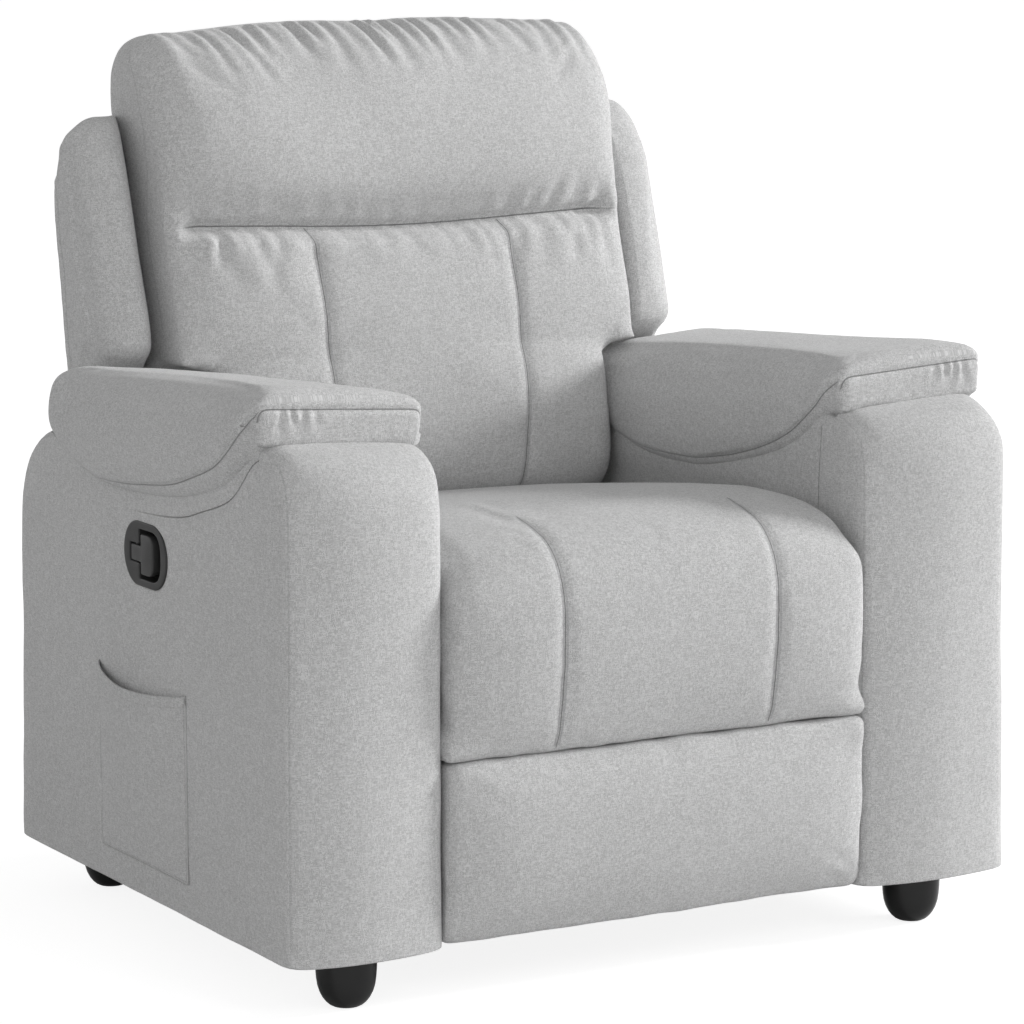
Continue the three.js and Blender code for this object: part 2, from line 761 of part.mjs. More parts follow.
function guideLink(side) {
  const xs = mirroredSpan(side, layer(1));
  const bar = linkPlate(guidePivot, guidePin, xs);
  return cut(bar, pinHole(guidePivot, xs), pinHole(guidePin, xs));
}

// A cranked link: it turns on the lift link's crossing pin and reaches both ways from it.
function reachLink(side) {
  const xs = mirroredSpan(side, layer(2));
  const bar = join(
    linkPlate(crossingPin, bracketLowPin, xs),
    linkPlate(guidePin, crossingPin, xs),
    rivet(guidePin, xs, side * (layer(1)[0] - 0.4)),
  );
  return cut(bar, pinHole(crossingPin, xs), pinHole(bracketLowPin, xs));
}

function tiltLink(side) {
  const xs = mirroredSpan(side, layer(2));
  const bar = linkPlate(tiltPin, bracketHighPin, xs);
  return cut(bar, pinHole(tiltPin, xs), pinHole(bracketHighPin, xs));
}

const boardFrontY = behind(footrestPadThickness + contactGap);
const boardBackY = boardFrontY + footrestBoardThickness;

// An angle bracket: one flange on the board, the other carries the two link pins.
function footrestBracket(side) {
  const xs = mirroredSpan(side, layer(1));
  const flangeY = boardBackY + contactGap;
  const flangeX = mirroredSpan(side, [layer(1)[0] - 28, layer(1)[1]]);
  const web = outline([
    [flangeY, bracketLowPin.z - 56],
    [flangeY + 8, bracketLowPin.z - 56],
    [bracketLowPin.y + 12, bracketLowPin.z - 6],
    [bracketLowPin.y + 12, bracketLowPin.z + 8],
    [bracketHighPin.y + 12, bracketHighPin.z + 4],
    [bracketHighPin.y + 4, bracketHighPin.z + 11],
    [bracketHighPin.y - 6, bracketHighPin.z + 10],
    [flangeY, bracketHighPin.z - 10],
  ]);
  const flangeZ = [bracketLowPin.z - 80, bracketHighPin.z - 10];
  const flange = block(flangeX, [flangeY, flangeY + plate], flangeZ);
  const reach = side * (layer(2)[1] + 0.4);
  const screwX = (flangeX[0] + flangeX[1]) / 2 - side * 3;
  const screwHoles = [-64, -34].map((dz) => {
    const hole = new THREE.CylinderGeometry(2.5, 2.5, 4 * plate, 12);
    return solid(hole.translate(screwX, flangeY, bracketLowPin.z + dz));
  });
  return join(
    acrossX(web, xs),
    cut(flange, ...screwHoles),
    rivet(bracketLowPin, xs, reach),
    rivet(bracketHighPin, xs, reach),
  );
}

for (const [name, side] of sides) {
  add(`lift_link_${name}`, liftLink(side), "paintedSteel");
  add(`guide_link_${name}`, guideLink(side), "paintedSteel");
  add(`reach_link_${name}`, reachLink(side), "paintedSteel");
  add(`tilt_link_${name}`, tiltLink(side), "paintedSteel");
  add(`footrest_bracket_${name}`, footrestBracket(side), "paintedSteel");
}
add("torque_tube", torqueTube(), "paintedSteel");

function footrestPad() {
  const ys = [behind(0), behind(footrestPadThickness)];
  const shape = outline([
    [-seatHalfWidth, footrestPadBottom],
    [seatHalfWidth, footrestPadBottom],
    [seatHalfWidth, footrestPadTop],
    [-seatHalfWidth, footrestPadTop],
  ]);
  return alongY(shape, ys, 8);
}

function footrestBoard() {
  const half = seatHalfWidth - footrestBoardInset;
  return block(
    [-half, half],
    [boardFrontY, boardBackY],
    [footrestPadBottom + footrestBoardInset, footrestPadTop - footrestBoardInset],
  );
}

add("footrest_pad", footrestPad(), "cloth");
add("footrest_board", footrestBoard(), "wood");

// ---------------------------------------------------------------- back

const backBracketX = layer(outerLayer);
const stileX = [backBracketX[0] - contactGap - railWidth, backBracketX[0] - contactGap];

// A slice of the leaning back frame between two heights.
function frameSlice(xs, [z0, z1]) {
  return acrossX(
    outline([
      [frameFrontY(z0), z0],
      [panelFrontY(z0) - contactGap, z0],
      [panelFrontY(z1) - contactGap, z1],
      [frameFrontY(z1), z1],
    ]),
    xs,
  );
}

// A pressed arm: it hangs on the base's recline pivot, carries the seat's rear pivot at its foot
// and is screwed to the side of the back's stile.
function backBracket(side) {
  const xs = mirroredSpan(side, backBracketX);
  const top = 560;
  const shape = outline([
    [seatRearPivot.y - 12, seatRearPivot.z - 4],
    [seatRearPivot.y, seatRearPivot.z - 14],
    [seatRearPivot.y + 13, seatRearPivot.z - 4],
    [reclinePivot.y + 22, reclinePivot.z - 22],
    [panelFrontY(reclinePivot.z + 30) - 4, reclinePivot.z + 30],
    [panelFrontY(top) - 4, top],
    [frameFrontY(top) + 4, top],
    [frameFrontY(reclinePivot.z + 60) + 2, reclinePivot.z + 60],
    [reclinePivot.y - 8, reclinePivot.z + 14],
    [reclinePivot.y - 15, reclinePivot.z + 2],
  ]);
  return cut(acrossX(shape, xs), pinHole(reclinePivot, xs), pinHole(seatRearPivot, xs));
}

// Side view of the back cushion: a lumbar swell, the sewn channel and a head roll over the frame.
function backCushionShape(z0, z1) {
  const at = (dy) => reclinePivot.y + dy;
  const front = [
    [at(-48), cushionLip],
    [at(-76), cushionLip + 46],
    [at(-77), cushionLip + 126],
    [at(-55), channelHeight - 94],
    [at(-24), channelHeight - 29],
    [at(6), channelHeight],
    [at(-10), channelHeight + 41],
    [at(-6), channelHeight + 106],
    [at(25), overallHeight - 60],
    [at(80), overallHeight - 13],
    [at(132), overallHeight],
    [at(166), overallHeight - 11],
    [at(178), overallHeight - 35],
  ].map(([y, z]) => new THREE.Vector2(y, z));
  const curve = new THREE.SplineCurve(front).getPoints(32).filter((p) => p.y >= z0 && p.y <= z1);
  const shape = new THREE.Shape();
  shape.setFromPoints(curve);
  if (z1 > backFrameTop) {
    shape.lineTo(panelFrontY(backFrameTop) - 2, backFrameTop + 4);
    shape.lineTo(frameFrontY(backFrameTop) - contactGap, backFrameTop + 4);
  } else {
    shape.lineTo(frameFrontY(z1) - contactGap, z1);
  }
  shape.lineTo(frameFrontY(z0) - contactGap, z0);
  shape.closePath();
  return shape;
}

// Front view of the head: upright sides and round top corners.
function headShape() {
  const half = cushionHalfWidth;
  const shape = new THREE.Shape();
  shape.moveTo(-half, shoulderClear);
  shape.lineTo(half, shoulderClear);
  shape.lineTo(half, overallHeight - headCorner);
  shape.absarc(half - headCorner, overallHeight - headCorner, headCorner, 0, Math.PI / 2, false);
  shape.lineTo(headCorner - half, overallHeight);
  shape.absarc(
    headCorner - half, overallHeight - headCorner, headCorner,
    Math.PI / 2, Math.PI, false,
  );
  shape.closePath();
  return shape;
}

function backCushion() {
  const narrow = backBracketX[0] - 2;
  const overlap = 26;
  const low = backCushionShape(cushionBottom, shoulderClear + overlap);
  const high = backCushionShape(shoulderClear, overallHeight);
  const head = acrossX(high, [-cushionHalfWidth, cushionHalfWidth], 8);
  const round = alongY(headShape(), [reclinePivot.y - 100, overallDepth / 2 + 10]);
  return join(acrossX(low, [-narrow, narrow], 8), head.intersect(round));
}

// Side view of a wing: its rear edge lies on the back panel, its front edge leans with the back.
function wingShape() {
  const rear = (z) => panelFrontY(z) - contactGap;
  const front = (z) => rear(z) - wingDepth;
  const shape = new THREE.Shape();
  shape.moveTo(front(wingBottom + 34), wingBottom + 34);
  shape.quadraticCurveTo(front(wingBottom), wingBottom, front(wingBottom) + 40, wingBottom);
  shape.lineTo(rear(wingBottom - 6), wingBottom - 6);
  shape.lineTo(rear(wingTop - 30), wingTop - 30);
  shape.quadraticCurveTo(rear(wingTop), wingTop, rear(wingTop) - 30, wingTop);
  shape.quadraticCurveTo(front(wingTop) + 22, wingTop, front(wingTop - 70), wingTop - 70);
  shape.closePath();
  return shape;
}

function wing(side) {
  const outer = [cushionHalfWidth + contactGap, wingHalfWidth];
  const tongue = [stileX[1] + contactGap, cushionHalfWidth + 8];
  return join(
    acrossX(wingShape(), mirroredSpan(side, outer), 12),
    frameSlice(mirroredSpan(side, tongue), [shoulderClear + 20, wingTop - 40]),
  );
}

// The outer back: a thin upholstered panel, narrow between the arms and as wide as the wings above.
function backPanel() {
  const cosLean = Math.cos(backLean);
  const along = (z) => (z - backBottom) / cosLean;
  const low = armInnerX - sideGap;
  const high = wingHalfWidth - 6;
  const head = cushionHalfWidth - 8;
  const top = along(backPanelTop);
  const shoulder = 46;
  const shape = new THREE.Shape();
  shape.moveTo(-low, 0);
  shape.lineTo(low, 0);
  shape.lineTo(low, along(wingBottom));
  shape.lineTo(high, along(wingBottom));
  shape.lineTo(high, along(wingTop - shoulder));
  shape.quadraticCurveTo(high, along(wingTop - 8), head + 3, along(wingTop - 4));
  shape.quadraticCurveTo(head, top, head - 52, top);
  shape.lineTo(52 - head, top);
  shape.quadraticCurveTo(-head, top, -head - 3, along(wingTop - 4));
  shape.quadraticCurveTo(-high, along(wingTop - 8), -high, along(wingTop - shoulder));
  shape.lineTo(-high, along(wingBottom));
  shape.lineTo(-low, along(wingBottom));
  shape.closePath();
  const flat = new THREE.ExtrudeGeometry(shape, {
    depth: backPanelThickness * cosLean,
    bevelEnabled: false,
    curveSegments: 6,
  });
  flat.applyMatrix4(frontView).rotateX(-backLean);
  flat.translate(0, backRearY(backBottom), backBottom);
  return solid(flat);
}

for (const [name, side] of sides) {
  const stile = frameSlice(mirroredSpan(side, stileX), [backFrameBottom, backFrameTop]);
  add(`back_bracket_${name}`, backBracket(side), "paintedSteel");
  add(`back_stile_${name}`, stile, "wood");
  add(`wing_${name}`, wing(side), "cloth");
}
const railSpan = [-stileX[0] + contactGap, stileX[0] - contactGap];
add("back_rail_lower", frameSlice(railSpan, [cushionBottom + 8, cushionBottom + 68]), "wood");
add("back_rail_upper", frameSlice(railSpan, [backFrameTop - 60, backFrameTop]), "wood");
add("back_cushion", backCushion(), "cloth");
add("back_panel", backPanel(), "cloth");

export default armchair;
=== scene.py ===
"""Looks of a recliner armchair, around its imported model. Metres, +Z up, the front faces -Y."""

import json
import math

import bmesh
import bpy
import numpy as np
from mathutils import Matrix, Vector


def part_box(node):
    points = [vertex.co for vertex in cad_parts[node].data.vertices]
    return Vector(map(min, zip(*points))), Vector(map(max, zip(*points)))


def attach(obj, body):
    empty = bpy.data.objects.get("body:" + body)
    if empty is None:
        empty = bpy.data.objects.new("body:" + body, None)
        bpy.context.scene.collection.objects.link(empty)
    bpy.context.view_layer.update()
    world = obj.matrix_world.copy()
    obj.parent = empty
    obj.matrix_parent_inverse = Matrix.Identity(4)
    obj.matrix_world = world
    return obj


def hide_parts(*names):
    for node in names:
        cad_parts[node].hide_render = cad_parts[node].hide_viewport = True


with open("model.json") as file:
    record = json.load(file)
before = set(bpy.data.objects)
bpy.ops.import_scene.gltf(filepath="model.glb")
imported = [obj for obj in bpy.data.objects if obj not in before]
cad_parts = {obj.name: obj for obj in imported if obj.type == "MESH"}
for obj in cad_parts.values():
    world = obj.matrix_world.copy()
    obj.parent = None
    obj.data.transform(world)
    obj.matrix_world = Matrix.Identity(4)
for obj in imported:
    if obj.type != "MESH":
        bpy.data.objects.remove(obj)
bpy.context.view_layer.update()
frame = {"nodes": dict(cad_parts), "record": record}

MM = 0.001
scene = bpy.context.scene

# ---- places, from the frame

arm_low, arm_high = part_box("arm_cover_left")
arm_front = arm_low.y
arm_inner, arm_outer = arm_low.x, arm_high.x
arm_middle = (arm_inner + arm_outer) / 2
rest_low, rest_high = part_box("footrest_pad")
cup_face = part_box("lever_bezel")[0].x

ARM_HALF = arm_outer - arm_middle
SEAT_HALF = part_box("seat_cushion")[1].x
HEAD_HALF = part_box("back_cushion")[1].x


def behind(mm):
    """A place that many millimetres behind the front of the arms."""
    return arm_front + mm * MM


# ---- meshes


def set_all(thing, **values):
    for key, value in values.items():
        setattr(thing, key, value)


def new_object(name, data):
    thing = bpy.data.objects.new(name, data)
    scene.collection.objects.link(thing)
    return thing


def new_piece(name, verts, faces):
    mesh = bpy.data.meshes.new(name)
    mesh.from_pydata([tuple(v) for v in verts], [], faces)
    mesh.validate()
    return new_object(name, mesh)


def vectors(items, key):
    """A vector of each item, as rows."""
    values = np.empty(len(items) * 3, np.float32)
    items.foreach_get(key, values)
    return values.reshape(-1, 3).astype(float)


def points_of(piece):
    return vectors(piece.data.vertices, "co")


def move_points(piece, co):
    piece.data.vertices.foreach_set("co", np.asarray(co, np.float32).ravel())
    piece.data.update()


def modify(piece, kind, **settings):
    """Adds a modifier and applies it."""
    set_all(piece.modifiers.new(kind.title(), kind), **settings)
    graph = bpy.context.evaluated_depsgraph_get()
    mesh = bpy.data.meshes.new_from_object(piece.evaluated_get(graph))
    old = piece.data
    piece.modifiers.clear()
    piece.data = mesh
    bpy.data.meshes.remove(old)


def loft(name, rings):
    """A closed skin through rings with as many points each; the first and last are capped."""
    count = len(rings[0])
    faces = []
    for i in range(len(rings) - 1):
        for j in range(count):
            k = (j + 1) % count
            a, b = i * count, (i + 1) * count
            faces.append((a + j, a + k, b + k, b + j))
    last = (len(rings) - 1) * count
    faces.append(tuple(reversed(range(count))))
    faces.append(tuple(last + j for j in range(count)))
    piece = new_piece(name, [p for ring in rings for p in ring], faces)
    mesh = bmesh.new()
    mesh.from_mesh(piece.data)
    bmesh.ops.recalc_face_normals(mesh, faces=mesh.faces)
    mesh.to_mesh(piece.data)
    mesh.free()
    return piece


def remesh(piece, size):
    """An even mesh, with voxels of that many millimetres."""
    modify(piece, "REMESH", mode="VOXEL", voxel_size=size * MM)
    modify(piece, "SMOOTH", factor=0.5, iterations=3)


def subdivide(piece):
    modify(piece, "SUBSURF", levels=1, render_levels=1)


SWELL_FRAMES = 20


def inflate(piece, pressure, limit, pinned):
    """Lets the cloth swell for a few frames, no point over limit millimetres; pinned is 0 to 1."""
    start = points_of(piece)
    cloth = piece.modifiers.new("Cloth", "CLOTH")
    set_all(cloth.settings, quality=4, mass=0.3)
    set_all(cloth.settings, use_pressure=True, uniform_pressure_force=pressure)
    set_all(cloth.settings, tension_stiffness=12, compression_stiffness=12)
    set_all(cloth.settings, shear_stiffness=6, bending_stiffness=0.4)
    cloth.settings.effector_weights.gravity = 0
    cloth.collision_settings.use_collision = False
    set_all(cloth.point_cache, frame_start=1, frame_end=SWELL_FRAMES)
    group = piece.vertex_groups.new(name="pin")
    for index in np.nonzero(pinned > 0.01)[0]:
        group.add([int(index)], float(pinned[index]), "REPLACE")
    cloth.settings.vertex_group_mass = "pin"
    for f in range(1, SWELL_FRAMES + 1):
        scene.frame_set(f)
    graph = bpy.context.evaluated_depsgraph_get()
    move = vectors(piece.evaluated_get(graph).data.vertices, "co") - start
    length = np.linalg.norm(move, axis=1, keepdims=True)
    move *= np.minimum(1, limit * MM / np.maximum(length, 1e-9))
    piece.modifiers.clear()
    piece.vertex_groups.clear()
    scene.frame_set(1)
    move_points(piece, start + move)


# ---- outlines


def curve_through(points, step):
    """A smooth open line through the points, with a point about every step."""
    p = np.array(points, float)
    p = np.vstack([p[:1], p, p[-1:]])
    out = []
    for p0, p1, p2, p3 in zip(p, p[1:], p[2:], p[3:]):
        steps = max(1, int(round(np.linalg.norm(p2 - p1) / step)))
        for t in np.arange(steps) / steps:
            turn = (2 * p0 - 5 * p1 + 4 * p2 - p3) * t * t + (3 * p1 - p0 - 3 * p2 + p3) * t**3
            out.append(0.5 * (2 * p1 + (p2 - p0) * t + turn))
    return np.array(out + [p[-1]])


def closed(loop):
    return np.vstack([loop, loop[:1]])


def lengths(line):
    """How far along the line each of its points is."""
    return np.concatenate([[0], np.cumsum(np.linalg.norm(np.diff(line, axis=0), axis=1))])


def points_along(line, places):
    return np.stack([np.interp(places, lengths(line), line[:, k]) for k in range(2)], axis=1)


def drawn_in(loop, distance):
    """A closed outline moved towards its inside by distance, which may differ by point."""
    ahead = np.roll(loop, -1, axis=0) - np.roll(loop, 1, axis=0)
    normal = np.stack([ahead[:, 1], -ahead[:, 0]], axis=1)
    normal /= np.linalg.norm(normal, axis=1, keepdims=True)
    x, y = loop[:, 0], loop[:, 1]
    area = np.sum(x * np.roll(y, -1) - np.roll(x, -1) * y) / 2
    return loop - normal * np.reshape(distance, (-1, 1)) * (1 if area > 0 else -1)


def rounded(corners, step=8.0):
    """A closed outline through corners (across, up, radius), rounded off, all in millimetres."""
    corners = np.array(corners, float) * MM
    step *= MM
    p = corners[:, :2]
    path = []
    for i in range(len(p)):
        before, here, after = p[i - 1], p[i], p[(i + 1) % len(p)]
        back, on = before - here, after - here
        reach = min(corners[i][2], np.linalg.norm(back) * 0.48, np.linalg.norm(on) * 0.48)
        a = here + back / np.linalg.norm(back) * reach
        b = here + on / np.linalg.norm(on) * reach
        steps = max(2, int(reach * 1.6 / step))
        for t in np.arange(steps + 1) / steps:
            path.append(a * (1 - t) ** 2 + here * 2 * t * (1 - t) + b * t * t)
    path = closed(np.array(path))
    length = lengths(path)[-1]
    return points_along(path, np.linspace(0, length, int(length / step), endpoint=False))


def side_view(corners):
    """The same, from corners that are that far behind the arms' front and above the floor."""
    return rounded([(arm_front / MM + y, z, r) for y, z, r in corners])


def round_end(t):
    """How far a round edge has drawn in, 0 to 1, as t goes from 0 at its start to 1 at its end."""
    return 1 - np.sqrt(np.maximum(0, 1 - np.clip(t, 0, 1) ** 2))


def across(name, loop, x0, x1, radius, crown=0.0, power=3):
    """A cushion with a side-view outline: round along both sides and crowned between them.

    The radius and the crown may differ from point to point of the outline.
    """
    middle, half = (x0 + x1) / 2, (x1 - x0) / 2
    radius = np.broadcast_to(np.asarray(radius, float), len(loop))
    widest = radius.max()
    bend = widest * (1 - np.sin(np.linspace(math.pi / 2, 0, 12)))
    straight = np.linspace(x0 + widest, x1 - widest, 30)[1:-1]
    rings = []
    for place in np.concatenate([x0 + bend, straight, x1 - bend[::-1]]):
        end = np.maximum(x0 + radius - place, place - x1 + radius) / radius
        inset = radius * round_end(end) + crown * (abs(place - middle) / half) ** power
        rings.append([(place, y, z) for y, z in drawn_in(loop, inset)])
    return loft(name, rings)


def merged(name, pieces):
    """One object with all the pieces' faces; a remesh then makes them one skin."""
    mesh = bmesh.new()
    for piece in pieces:
        mesh.from_mesh(piece.data)
        bpy.data.objects.remove(piece)
    whole = bpy.data.meshes.new(name)
    mesh.to_mesh(whole)
    mesh.free()
    return new_object(name, whole)


# ---- relief on a finished skin


def ramp(a, b, x):
    """From 0 at a to 1 at b, with soft ends."""
    t = np.clip((x - a) / (b - a), 0, 1)
    return t * t * (3 - 2 * t)


def bell(x, width):
    """1 at 0, falling away over a width in millimetres."""
    return np.exp(-((x / (width * MM)) ** 2))


def value_noise(p, seed):
    """Smooth noise from -1 to 1 at the points p, one bump to a unit."""
    base = np.floor(p).astype(np.int64)
    t = p - base
    t = t * t * (3 - 2 * t)
    total = np.zeros(len(p))
    for corner in range(8):
        shift = np.array([(corner >> a) & 1 for a in range(3)])
        i, j, k = (base + shift).T
        mixed = i * 73856093 ^ j * 19349663 ^ k * 83492791 ^ seed * 2654435761
        mixed = (mixed ^ (mixed >> 13)) * 1274126177 & 0x7FFFFFFF
        value = (mixed >> 7) % 20011 / 10005.5 - 1
        total += value * np.prod(np.where(shift, t, 1 - t), axis=1)
    return total


class Relief:
    """Moves a skin's points along their normals; the moves add up until they are applied.

    How far the points are from a seam and along it is in metres, every other size in millimetres.
    """

    def __init__(self, piece):
        self.piece = piece
        self.co = points_of(piece)
        self.no = vectors(piece.data.vertex_normals, "vector")
        self.x, self.y, self.z = self.co.T
        self.move = np.zeros(len(self.co))
        self.slide = np.zeros_like(self.co)

    def after(self, a, b):
        """From 0 at a to 1 at b, both in millimetres behind the arms' front."""
        return ramp(behind(a), behind(b), self.y)

    def over(self, a, b):
        """From 0 at a to 1 at b, both in millimetres above the floor."""
        return ramp(a * MM, b * MM, self.z)

    def crease(self, distance, depth, width, mask=1.0):
        """A sewn line: the cloth dips to it from both sides."""
        self.move -= depth * MM * bell(distance, width) * mask

    def pucker(self, distance, along, height, reach, pitch, seed, mask=1.0):
        """Short gathers that run out from a seam."""
        p = [along / (pitch * MM), np.zeros_like(along), distance / (reach * 3 * MM)]
        p = np.stack(p, axis=1)
        wave = value_noise(p, seed) + 0.5 * value_noise(p * 1.9, seed + 1)
        self.move += height * MM * wave * bell(distance, reach) * mask

    def folds(self, across, down, places, mask=1.0):
        """Single folds (place, lean, length, width, depth) that run down from where down is 0."""
        for place, lean, length, width, depth in places:
            off = (across - place * MM - lean * down) / MM
            share = down / (length * MM)
            run = ramp(-6 * MM, 4 * MM, down) * (1 - ramp(0.25, 1, share))
            off = np.abs(off) / (width * (1 + 0.8 * np.clip(share, 0, 1)))
            shape = 0.6 * np.exp(-((off - 1.7) ** 2)) - np.exp(-(off**2))
            self.move += depth * MM * shape * run * mask

    def soften(self, height, size, seed, mask=1.0):
        """Broad unevenness of the stuffing."""
        self.move += height * MM * value_noise(self.co / (size * MM), seed) * mask

    def apply(self):
        move_points(self.piece, self.co + self.no * self.move[:, None] + self.slide)


def bowed(x, half, width, depth):
    """How far a surface falls back over the last width (mm) to its sides, by depth (mm)."""
    t = np.clip((np.abs(x) - (half - width * MM)) / (width * MM), 0, 1)
    return depth * MM * t * t


def nearest_on(line, points):
    """Signed distance (positive on the left of the line), and how far along it, in 2D."""
    best = np.full(len(points), 1e9)
    side = np.ones(len(points))
    along = np.zeros(len(points))
    for a, b, start in zip(line, line[1:], lengths(line)):
        ab, ap = b - a, points - a
        length = np.linalg.norm(ab)
        t = np.clip(ap @ ab / length**2, 0, 1)
        distance = np.linalg.norm(ap - t[:, None] * ab, axis=1)
        near = distance < best
        best = np.where(near, distance, best)
        side = np.where(near, np.sign(ab[0] * ap[:, 1] - ab[1] * ap[:, 0]), side)
        along = np.where(near, start + t * length, along)
    return best * side, along


SEAM_REACH = 50 * MM  # as far from a seam as its distance is kept


def mark_seam(piece, letter, distance, along, kind):
    """Keeps a seam for the cloth's material, which paints shade along it. kind is 0 for none, 1 for
    plain, 2 for topstitched; below 1 the painted line is fainter.
    """
    attribute = piece.data.attributes.new("seam_" + letter, "FLOAT_VECTOR", "POINT")
    rows = [np.broadcast_to(v, distance.shape) for v in (distance, along, kind)]
    rows[0] = np.clip(distance, -SEAM_REACH, SEAM_REACH)
    attribute.data.foreach_set("vector", np.stack(rows, axis=1).astype(np.float32).ravel())


def lay_weave(piece, loop):
    """Keeps how far around the side-view outline each point is, for the threads to follow."""
    _, around = nearest_on(closed(loop), points_of(piece)[:, 1:])
    attribute = piece.data.attributes.new("around", "FLOAT", "POINT")
    attribute.data.foreach_set("value", around.astype(np.float32))


# ---- materials


class Value:
    """A number or vector in a shader: arithmetic with it adds the nodes that work it out."""

    def __init__(self, nodes, socket):
        self.nodes, self.socket = nodes, socket

    def __abs__(self):
        return self.nodes.math("ABSOLUTE", self)


OPERATORS = {"add": "ADD", "sub": "SUBTRACT", "mul": "MULTIPLY", "truediv": "DIVIDE"}
for sign, operation in OPERATORS.items():
    setattr(Value, f"__{sign}__", lambda a, b, kind=operation: a.nodes.math(kind, a, b))


class Nodes:
    """Adds nodes to a material or a world and links them as it goes."""

    def __init__(self, owner, shader="Principled BSDF"):
        owner.use_nodes = True
        self.owner = owner
        self.tree = owner.node_tree
        self.shader = self.tree.nodes[shader]

    def add(self, kind, inputs=None, output=0, **settings):
        node = self.tree.nodes.new(kind)
        set_all(node, **settings)
        self.put(node, inputs or {})
        return Value(self, node.outputs[output])

    def put(self, node, inputs):
        for key, value in inputs.items():
            if isinstance(value, Value):
                self.tree.links.new(value.socket, node.inputs[key])
            else:
                node.inputs[key].default_value = value

    def math(self, operation, a, b=0.0, **settings):
        return self.add("ShaderNodeMath", {0: a, 1: b}, operation=operation, **settings)

    def spread(self, value, low, high, to_low=0.0, to_high=1.0, kind="LINEAR"):
        inputs = {0: value, 1: low, 2: high, 3: to_low, 4: to_high}
        return self.add("ShaderNodeMapRange", inputs, interpolation_type=kind)

    def fade(self, value, start, end):
        """1 up to start, and softly down to 0 at end."""
        return self.spread(value, start, end, 1.0, 0.0, "SMOOTHSTEP")

    def pick(self, share, a, b):
        return self.add("ShaderNodeMix", {0: share, 2: a, 3: b})

    def blend(self, share, a, b):
        return self.add("ShaderNodeMix", {0: share, 6: a, 7: b}, 2, data_type="RGBA")

    def noise(self, vector, scale, detail=2.0, roughness=0.5):
        inputs = {"Vector": vector, "Scale": scale, "Detail": detail, "Roughness": roughness}
        return self.add("ShaderNodeTexNoise", inputs, "Fac")

    def combine(self, x, y, z=0.0):
        return self.add("ShaderNodeCombineXYZ", {0: x, 1: y, 2: z})

    def split(self, vector):
        return [self.add("ShaderNodeSeparateXYZ", {0: vector}, axis) for axis in range(3)]

    def place(self, kind="Object"):
        return self.add("ShaderNodeTexCoord", output=kind)

    def finish(self, colour, roughness, height, distance, strength):
        """Sets the colour, the roughness and a bump of that many millimetres."""
        bump = {"Height": height, "Distance": distance * MM, "Strength": strength}
        normal = self.add("ShaderNodeBump", bump)
        self.put(self.shader, {"Base Color": colour, "Roughness": roughness, "Normal": normal})
        return self.owner


def new_material(name, **fixed):
    n = Nodes(bpy.data.materials.new(name))
    n.put(n.shader, {key.replace("_", " "): value for key, value in fixed.items()})
    return n


def grey(value, warmth=0.0):
    return (value * (1 + warmth), value, value * (1 - warmth), 1.0)


THREAD = 1.1 * MM
TINT_RUNS = 2.6, 2.9  # how many threads a warp and a weft keep their tint for
STITCH = 4.6 * MM
STITCH_ROW = 2.6 * MM  # from the seam to each row of topstitching


def cloth_material():
    """Light grey plain-weave cloth with uneven threads, and the sewn lines that the skins carry;
    shade is painted into the seams, their stitch troughs and the gaps between threads.
    """
    n = new_material("cloth", Sheen_Weight=0.25, Sheen_Roughness=0.55, Specular_IOR_Level=0.25)
    where = n.place()
    x, y, z = n.split(where)
    sideways = n.math("GREATER_THAN", abs(n.split(n.place("Normal"))[0]), 0.7)
    around = n.add("ShaderNodeAttribute", output="Fac", attribute_name="around")
    u, v = n.pick(sideways, x, y), n.pick(sideways, around, z)
    wander = n.noise(n.combine(u, v), 45.0, 1.0) * 0.5
    warp, weft = u / THREAD + wander, v / THREAD + wander
    warp_cell, weft_cell = n.math("FLOOR", warp), n.math("FLOOR", weft)
    warp_run = n.combine(warp_cell, n.math("FLOOR", weft / TINT_RUNS[0]))
    weft_run = n.combine(n.math("FLOOR", warp / TINT_RUNS[1]), weft_cell, 4.0)
    tints = [n.add("ShaderNodeTexWhiteNoise", {0: run}) for run in (warp_run, weft_run)]
    tint = n.pick(abs(n.math("MODULO", warp_cell + weft_cell, 2.0)), *tints)
    bows = [n.math("SINE", n.math("FRACT", thread) * math.pi) for thread in (warp, weft)]
    relief = bows[0] * bows[1]
    broad = n.noise(where, 5.0, 3.0, 0.6)
    mottle = n.noise(where, 700.0, 2.0, 0.6)
    # Where the threads' relief is low the colour is darker: painted shade in the gaps between
    # threads.
    shade = tint * 0.6 + mottle * 0.4 + (relief - 0.4) * 0.2 + (broad - 0.5) * 0.15
    colour = n.blend(n.spread(shade, 0.1, 0.95), grey(0.43), grey(0.8))
    height = relief * 0.15 + tint * 1.1
    for letter in "abc":
        seam = n.add("ShaderNodeAttribute", output="Vector", attribute_name="seam_" + letter)
        distance, along, kind = n.split(seam)
        sewn = n.math("MULTIPLY", kind, 1.0, use_clamp=True)
        stitched = n.math("SUBTRACT", kind, 1.0, use_clamp=True)
        gap = abs(distance)
        row = abs(gap - STITCH_ROW)
        dash = n.fade(abs(n.math("FRACT", along / STITCH) - 0.5), 0.36, 0.44)
        # line paints the shade of the seam's crease into the colour as a dark line, and dips the
        # bump there.
        line = n.fade(gap, 0.0, 1.1 * MM) * sewn
        thread = n.fade(row, 0.3 * MM, 0.75 * MM) * dash * stitched
        # Beside each row of topstitching the colour is darkened as painted shade of the trough the
        # stitches pull in, and the bump dips.
        shaded_trough = n.fade(row, 0.0, 1.6 * MM) * stitched
        colour = n.blend(line * 0.75, colour, (0.16, 0.16, 0.165, 1.0))
        colour = n.blend(shaded_trough * 0.3, colour, (0.3, 0.3, 0.31, 1.0))
        colour = n.blend(thread * 0.8, colour, (0.62, 0.62, 0.63, 1.0))
        height = height - line * 3.0 - shaded_trough * 1.2 + thread * 2.2
    return n.finish(colour, 0.92, height, 0.5, 1.0)


